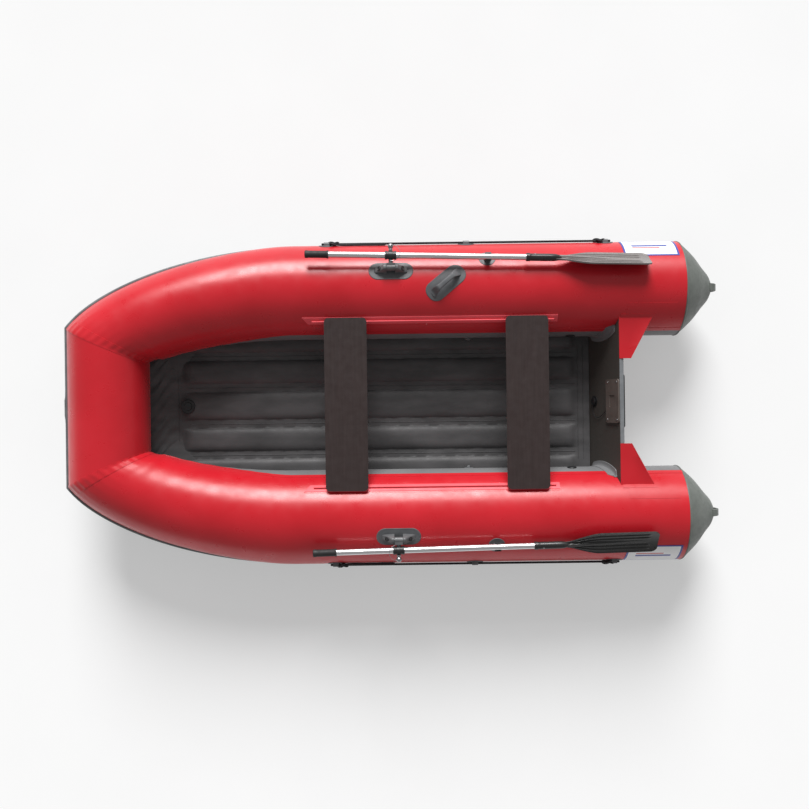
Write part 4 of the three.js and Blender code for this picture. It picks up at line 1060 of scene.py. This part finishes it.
def oar_blade(side):
    tip = GRIP_END - OAR_LENGTH
    across = spread(-1, 1, 180)
    rings = []
    for t in [*spread(0, 0.07, 12), *spread(0.07, 1, 70)[1:]]:
        half = blade_outline(t)
        x = tip + t * BLADE_LENGTH
        cup = lambda v: -0.007 * (1 - (v * half / 0.07) ** 2) * (1 - t)
        top = [Vector((x, v * half, cup(v) + 0.0022 + blade_rib(v, t, half))) for v in across]
        bottom = [Vector((x, v * half, cup(v) - 0.0022 - blade_rib(v, t, half))) for v in reversed(across)]
        rings.append(top + bottom)
    root, mouth = tip + BLADE_LENGTH, tip + BLADE_PIECE
    socket = [(0, root - 0.055), (0.008, root - 0.052), (0.0172, root - 0.012), (0.0182, root + 0.004)]
    socket += [(0.0184, x) for x in spread(root + 0.010, mouth - 0.020, 8)]
    socket += [(0.0186, mouth - 0.019), (0.0202, mouth - 0.018), (0.0202, mouth - 0.001)]
    socket += [(0.0194, mouth), (SHAFT_R, mouth)]
    turn = oar_frame(side) @ Matrix.Rotation(-BLADE_TILT[side], 4, "X")
    # The starboard blade takes the lighter copy, a painted highlight; the port blade keeps the plain dark
    # plastic.
    plastic = PAINTED_HIGHLIGHT_BLADE if side == "starboard" else BLADE_PLASTIC
    parts = [(*moved(loft(rings), turn), plastic), (*moved(turned(socket, 44), turn @ X_AXIS), BLADE_PLASTIC)]
    piece(f"{side}_blade_moulding", parts, f"{side}_oar", side, [f"{side}_oar_blade"])
    place = turn @ Matrix.Translation((mouth - 0.045, 0, 0.0176))
    dome = [(0.0042, -0.002), (0.0042, 0.0010), (0.003, 0.0022), (0, 0.0026)]
    rivet = [(*moved(turned(dome, 24), place), STEEL)]
    piece(f"{side}_blade_rivet", rivet, f"{side}_oar", side)


# ---- Oarlocks and clips ----


def wing(sign):
    """One ear of the oarlock's bracket, which slopes down to its foot. In the tube's frame."""
    base = PATCH_TOP - 0.001
    rings = []
    steps = (
        (0.0212, 0.017, 0.0520), (0.024, 0.0175, 0.0535), (0.036, 0.0175, 0.0515), (0.048, 0.0165, 0.036),
        (0.066, 0.0155, 0.018), (0.078, 0.013, 0.0105), (0.0825, 0.010, 0.004),
    )
    for x, wide, top in steps:
        ring = []
        for a in spread(0, math.pi, 16):
            y = wide * math.copysign(abs(math.cos(a)) ** 0.55, math.cos(a))
            ring.append(Vector((sign * x, y, base + (top - PATCH_T) * math.sin(a) ** 0.4)))
        rings.append(ring)
    return loft(rings)


def oarlock(side):
    hinge = middle(f"{side}_oarlock_pin")
    collar = middle(f"{side}_oar_collar")
    reach = collar.y - hinge.y
    place = on_tube(hinge.x, OARLOCK_ANGLE)
    parts = [(*plate(rounded(0.225, 0.092, 0.0455), hinge.x, OARLOCK_ANGLE), PATCH_RUBBER)]
    parts += [(*moved(wing(sign), place), DARK_PLASTIC) for sign in (1, -1)]
    piece(f"{side}_oarlock_bracket", parts, side=side, replaces=[f"{side}_oarlock_base"])
    # Shallow dishes on the wing slopes in black: painted shade, standing for the dark inside the wings' screw
    # holes.
    dish = [(0.0115, -0.004), (0.0115, 0.0022), (0.0102, 0.0030)]
    dish += [(0.0088, 0.0022), (0.0072, 0.0004), (0, 0.0002)]
    hole_shade_dishes = []
    for sign in (1, -1):
        on_slope = Matrix.Translation((sign * 0.059, 0, PATCH_TOP + 0.0225))
        at = place @ on_slope @ Matrix.Rotation(sign * rad(44), 4, "Y")
        hole_shade_dishes.append((*moved(turned(dish, 32), at), BLACK_PLASTIC))
    piece(f"{side}_oarlock_recesses", hole_shade_dishes, side=side)
    finish_node(f"{side}_oarlock_pin", STEEL, 0.0004)
    finish_node(f"{side}_oarlock_yoke", DARK_PLASTIC, 0.0015)
    ball = reach + 0.045
    profile = [(0.0055, reach + 0.022), (0.0100, reach + 0.022)]
    profile += [(0.0104, reach + 0.026), (0.0085, ball - 0.0115)]
    profile += [(0.014 * math.cos(a), ball + 0.014 * math.sin(a)) for a in spread(rad(-50), rad(88), 18)]
    profile.append((0, ball + 0.014))
    out = Matrix.Translation(hinge) @ Matrix.Rotation(-math.pi / 2, 4, "X")
    knob = [(*moved(turned(profile, 40), out), STEEL)]
    piece(f"{side}_ball_nut", knob, f"{side}_yoke", side, [f"{side}_oarlock_knob"])
    bulge = 0.046 * WIRE_SIDE[side]
    shape = (  # share of the bulge, distance past the collar, height
        (0, -0.0275, 0.0108), (0.45, -0.027, 0.013), (0.95, -0.006, 0.024), (1, 0.018, 0.026),
        (0.7, 0.040, 0.020), (0.2, 0.0505, 0.0135), (0, 0.0445, 0.0145),
    )
    route = [(bulge * share, reach + out, up) for share, out, up in shape]
    wire = swept([hinge + p for p in curve_through(route, 8)], 0.0011, 10)
    piece(f"{side}_keeper_wire", [(*wire, STEEL)], f"{side}_yoke", side)


def oar_clip(side):
    """The snap cradle that holds the shaft: sprung jaws on a stalk and a round patch."""
    low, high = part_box(f"{side}_oar_clip")
    x = (low.x + high.x) / 2
    axis = middle(f"{side}_oar_collar")
    y = axis.y + (x - axis.x) * math.tan(YAW[side])
    angle = math.acos((y - TUBE_Y) / TUBE_R)
    inner, outer = SHAFT_R + 0.0009, SHAFT_R + 0.0056
    section = arc(outer, math.pi, TAU, 24)
    section += [(outer + 0.001, 0.0045), (inner + 0.0015, 0.006), (inner, 0.003)]
    section += arc(inner, TAU, math.pi, 24)
    section += [(-inner, 0.003), (-inner - 0.0015, 0.006), (-outer - 0.001, 0.0045)]
    rings = []
    for dx in (-0.015, -0.0145, 0.0145, 0.015):
        rings.append([Vector((x + dx, y + u, axis.z + w)) for u, w in section])
    skin_z = TUBE_Z + TUBE_R * math.sin(angle)
    stalk = []
    for share in spread(0, 1, 8):
        wide = lerp(0.017, 0.010, smooth(share * 1.6))
        deep = lerp(0.020, 0.0145, smooth(share * 1.6))
        z = lerp(skin_z - 0.004, axis.z - inner - 0.001, share)
        stalk.append([Vector((x + dx, y + dy, z)) for dx, dy in rounded(deep * 2, wide * 2, 0.004, 4)])
    disc = arc(0.0435, 0, TAU, 72)[:-1]
    parts = [
        (*plate(disc, x, angle), PATCH_RUBBER),
        (*loft(rings), BLACK_PLASTIC),
        (*loft(stalk), PATCH_RUBBER),
    ]
    piece(f"{side}_snap_cradle", parts, side=side, replaces=[f"{side}_oar_clip"])


# ---- Ropes, eyes, rings and the handle ----


def rope_eye(side, place):
    """An oval patch with a moulded tunnel for the rope."""
    node = f"{side}_{place}_rope_eye"
    x = middle(node).x
    oval = [(0.0425 * math.cos(a), 0.030 * math.sin(a)) for a in spread(0, TAU, 72)[:-1]]
    centre = PATCH_TOP + ROPE_R + 0.001
    frame_at = on_tube(x, ROPE_ANGLE)
    outer, inner = ROPE_R + 0.0042, ROPE_R + 0.0005
    low = PATCH_TOP - 0.002
    foot = outer + 0.005
    hole = [(-foot, low), (-inner, low), *arc(inner, math.pi, 0, 20, centre), (inner, low), (foot, low)]
    fore_half = [(0.011, 0), (0.0145, 0.0004), (0.0155, -0.0008)]  # distance along, and the rim's swell
    rings = []
    for dx, grow in [(-dx, grow) for dx, grow in reversed(fore_half)] + fore_half:
        ring = arc(outer + grow, 0, math.pi, 20, centre) + hole
        rings.append([frame_at @ Vector((dx, -v, w)) for v, w in ring])
    parts = [(*plate(oval, x, ROPE_ANGLE), PATCH_RUBBER), (*loft(rings), DARK_PLASTIC)]
    piece(f"{node}_patch", parts, side=side, replaces=[node])


def rope_line(x, turn=0.0, away=0.0):
    """A place beside the rope's line: turn moves it round the tube, away out from it."""
    angle = ROPE_ANGLE + turn / TUBE_R
    return skin(straight(x), angle, PATCH_T + ROPE_R + 0.001 + away)


def knot(x, side, name):
    """An overhand knot in the rope, a closed trefoil lap of the same rope."""
    centre = rope_line(x, 0, 0.001)
    frame_at = on_tube(x, ROPE_ANGLE)
    route = []
    for a in spread(0, TAU, 90):
        u = 0.0100 * (math.sin(a) + 2 * math.sin(2 * a))
        v = 0.0074 * (math.cos(a) - 2 * math.cos(2 * a))
        w = -0.0052 * math.sin(3 * a)
        route.append(centre + frame_at.to_3x3() @ Vector((u, v, w + 0.001)))
    part = swept(route, ROPE_R, 14, 0.03, 4, 0.07, taper=False)
    piece(name, [(*part, ROPE)], side=side)


def grab_rope(side):
    """The taut grab line through its three eyes, knotted at both ends, with a tail laid back."""
    low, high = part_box(f"{side}_grab_rope")
    route = [rope_line(x) for x in spread(low.x, high.x, 480)]
    main = swept(route, ROPE_R, 20, 0.034, 4, 0.075)
    piece(f"{side}_grab_line", [(*main, ROPE)], side=side, replaces=[f"{side}_grab_rope"])
    fore_eye = middle(f"{side}_fore_rope_eye").x
    aft_eye = middle(f"{side}_aft_rope_eye").x
    knot(fore_eye - 0.031, side, f"{side}_fore_knot")
    knot(aft_eye + 0.031, side, f"{side}_aft_knot")
    tail = []
    for t in spread(0, 1, 110):
        x = fore_eye - 0.040 - 0.26 * t
        tail.append(rope_line(x, 0.0125 + 0.002 * math.sin(t * 9), -0.0028 * smooth((t - 0.02) * 6)))
    laid = swept(tail, ROPE_R * 0.9, 18, 0.034, 4, 0.075)
    piece(f"{side}_rope_tail", [(*laid, ROPE)], side=side)


def lashing(side):
    """A tab with its loop, and the steel ring in it."""
    tab = f"{side}_lashing_tab"
    x = middle(tab).x
    centre = PATCH_TOP + 0.0055
    frame_at = on_tube(x, TAB_ANGLE)
    rings = []
    for dx in (-0.006, -0.0054, 0.0054, 0.006):
        grow = -0.0005 if abs(dx) > 0.0055 else 0
        outer, inner = 0.0064 + grow, 0.0042
        low = PATCH_TOP - 0.002
        hole = [(-outer, low), (-inner, low), *arc(inner, math.pi, 0, 18, centre), (inner, low), (outer, low)]
        ring = arc(outer, 0, math.pi, 18, centre) + hole
        rings.append([frame_at @ Vector((dx, v, w)) for v, w in ring])
    patch = plate(rounded(0.050, 0.040, 0.008, 8), x, TAB_ANGLE)
    parts = [(*patch, PATCH_RUBBER), (*loft(rings), PATCH_RUBBER)]
    piece(f"{tab}_patch", parts, side=side, replaces=[tab])
    ring_at = middle(f"{side}_lashing_ring")
    route = [ring_at + Vector((0.016 * math.cos(a), 0, 0.016 * math.sin(a))) for a in spread(0, TAU, 64)]
    wire = swept(route, 0.002, 14, taper=False)
    node = f"{side}_lashing_ring"
    piece(f"{side}_steel_ring", [(*wire, STEEL)], node, side, [node])


def carry_handle():
    """The carrying handle on the starboard tube: a wide patch and a moulded strap over it."""
    node = "starboard_carry_handle"
    x = middle(node).x
    spin = rad(40)
    frame_at = on_tube(x, HANDLE_ANGLE) @ Matrix.Rotation(-spin, 4, "Z")
    base = TUBE_R
    rings = []
    for t in spread(-1, 1, 56):
        reach = abs(t)
        u = 0.090 * t
        rise = lerp(0.0345, 0.001, smooth((reach - 0.52) / 0.46))
        wide = lerp(0.0125, 0.021, smooth((reach - 0.35) / 0.6))
        thick = lerp(0.0062, 0.0050, smooth((reach - 0.5) / 0.4))
        drop = TUBE_R - math.sqrt(TUBE_R**2 - (u * math.sin(spin)) ** 2)
        ring = []
        for a in spread(0, TAU, 24)[:-1]:
            c, d = math.cos(a), math.sin(a)
            v = wide * math.copysign(abs(c) ** 0.6, c)
            w = thick * math.copysign(abs(d) ** 0.7, d)
            ring.append(frame_at @ Vector((u, v, base + rise + w - drop)))
        rings.append(ring)
    outline = rounded(0.228, 0.104, 0.046)
    parts = [
        (*plate(outline, x, HANDLE_ANGLE, -spin), PATCH_RUBBER),
        (*loft(rings), PATCH_RUBBER),
    ]
    piece("carry_handle_strap", parts, side="starboard", replaces=[node])


def tube_valve(side):
    """The recessed air valve on a tube's inboard side."""
    finish_node(f"{side}_tube_valve", BLACK_PLASTIC, 0.001)


# ---- Stage and light ----


def sun(name, toward, strength, spread_degrees):
    """A distant soft lamp that shines from a direction."""
    data = bpy.data.lights.new(name, "SUN")
    data.energy = strength
    data.angle = rad(spread_degrees)
    light = bpy.data.objects.new(name, data)
    bpy.context.collection.objects.link(light)
    light.matrix_world = Vector(toward).to_track_quat("Z", "Y").to_matrix().to_4x4()


def studio():
    mesh = bpy.data.meshes.new("studio_floor")
    half = 40
    corners = [(-half, -half, 0), (half, -half, 0), (half, half, 0), (-half, half, 0)]
    mesh.from_pydata(corners, [], [(0, 1, 2, 3)])
    ground = bpy.data.objects.new("studio_floor", mesh)
    bpy.context.collection.objects.link(ground)
    paper = Surface("studio_paper", 0.9, specular=0.1)
    paper.colour(paper.mix(paper.noise(1.5, 3), (0.60, 0.60, 0.60), (0.64, 0.64, 0.64)))
    paper.shader.inputs["Emission Color"].default_value = (1, 1, 1, 1)
    paper.shader.inputs["Emission Strength"].default_value = 0.32
    mesh.materials.append(paper.material)
    world = bpy.data.worlds.new("studio")
    world.use_nodes = True
    world.node_tree.nodes["Background"].inputs["Color"].default_value = (1, 1, 1, 1)
    world.node_tree.nodes["Background"].inputs["Strength"].default_value = 0.34
    bpy.context.scene.world = world
    sun("key", (0.05, -0.87, 0.50), 4.3, 28)
    bpy.context.scene.view_settings.view_transform = "Standard"


# ---- The boat ----


tether()
bow_tube()
strake()
for name in SIDES:
    side_tube(name)
    mitre_tape(name)
    stern_cone(name)
    reinforcement(name)
    label(name)
    seat_rail(name)
    transom_seal(name)
    gusset(name)
    oar_shaft(name)
    oar_grip(name)
    oar_collar(name)
    oar_blade(name)
    oarlock(name)
    oar_clip(name)
    for spot in ("fore", "mid", "aft"):
        rope_eye(name, spot)
    grab_rope(name)
    lashing(name)
    tube_valve(name)
transom_fittings()
drain()
air_floor()
floor_valve()
seats()
carry_handle()
studio()
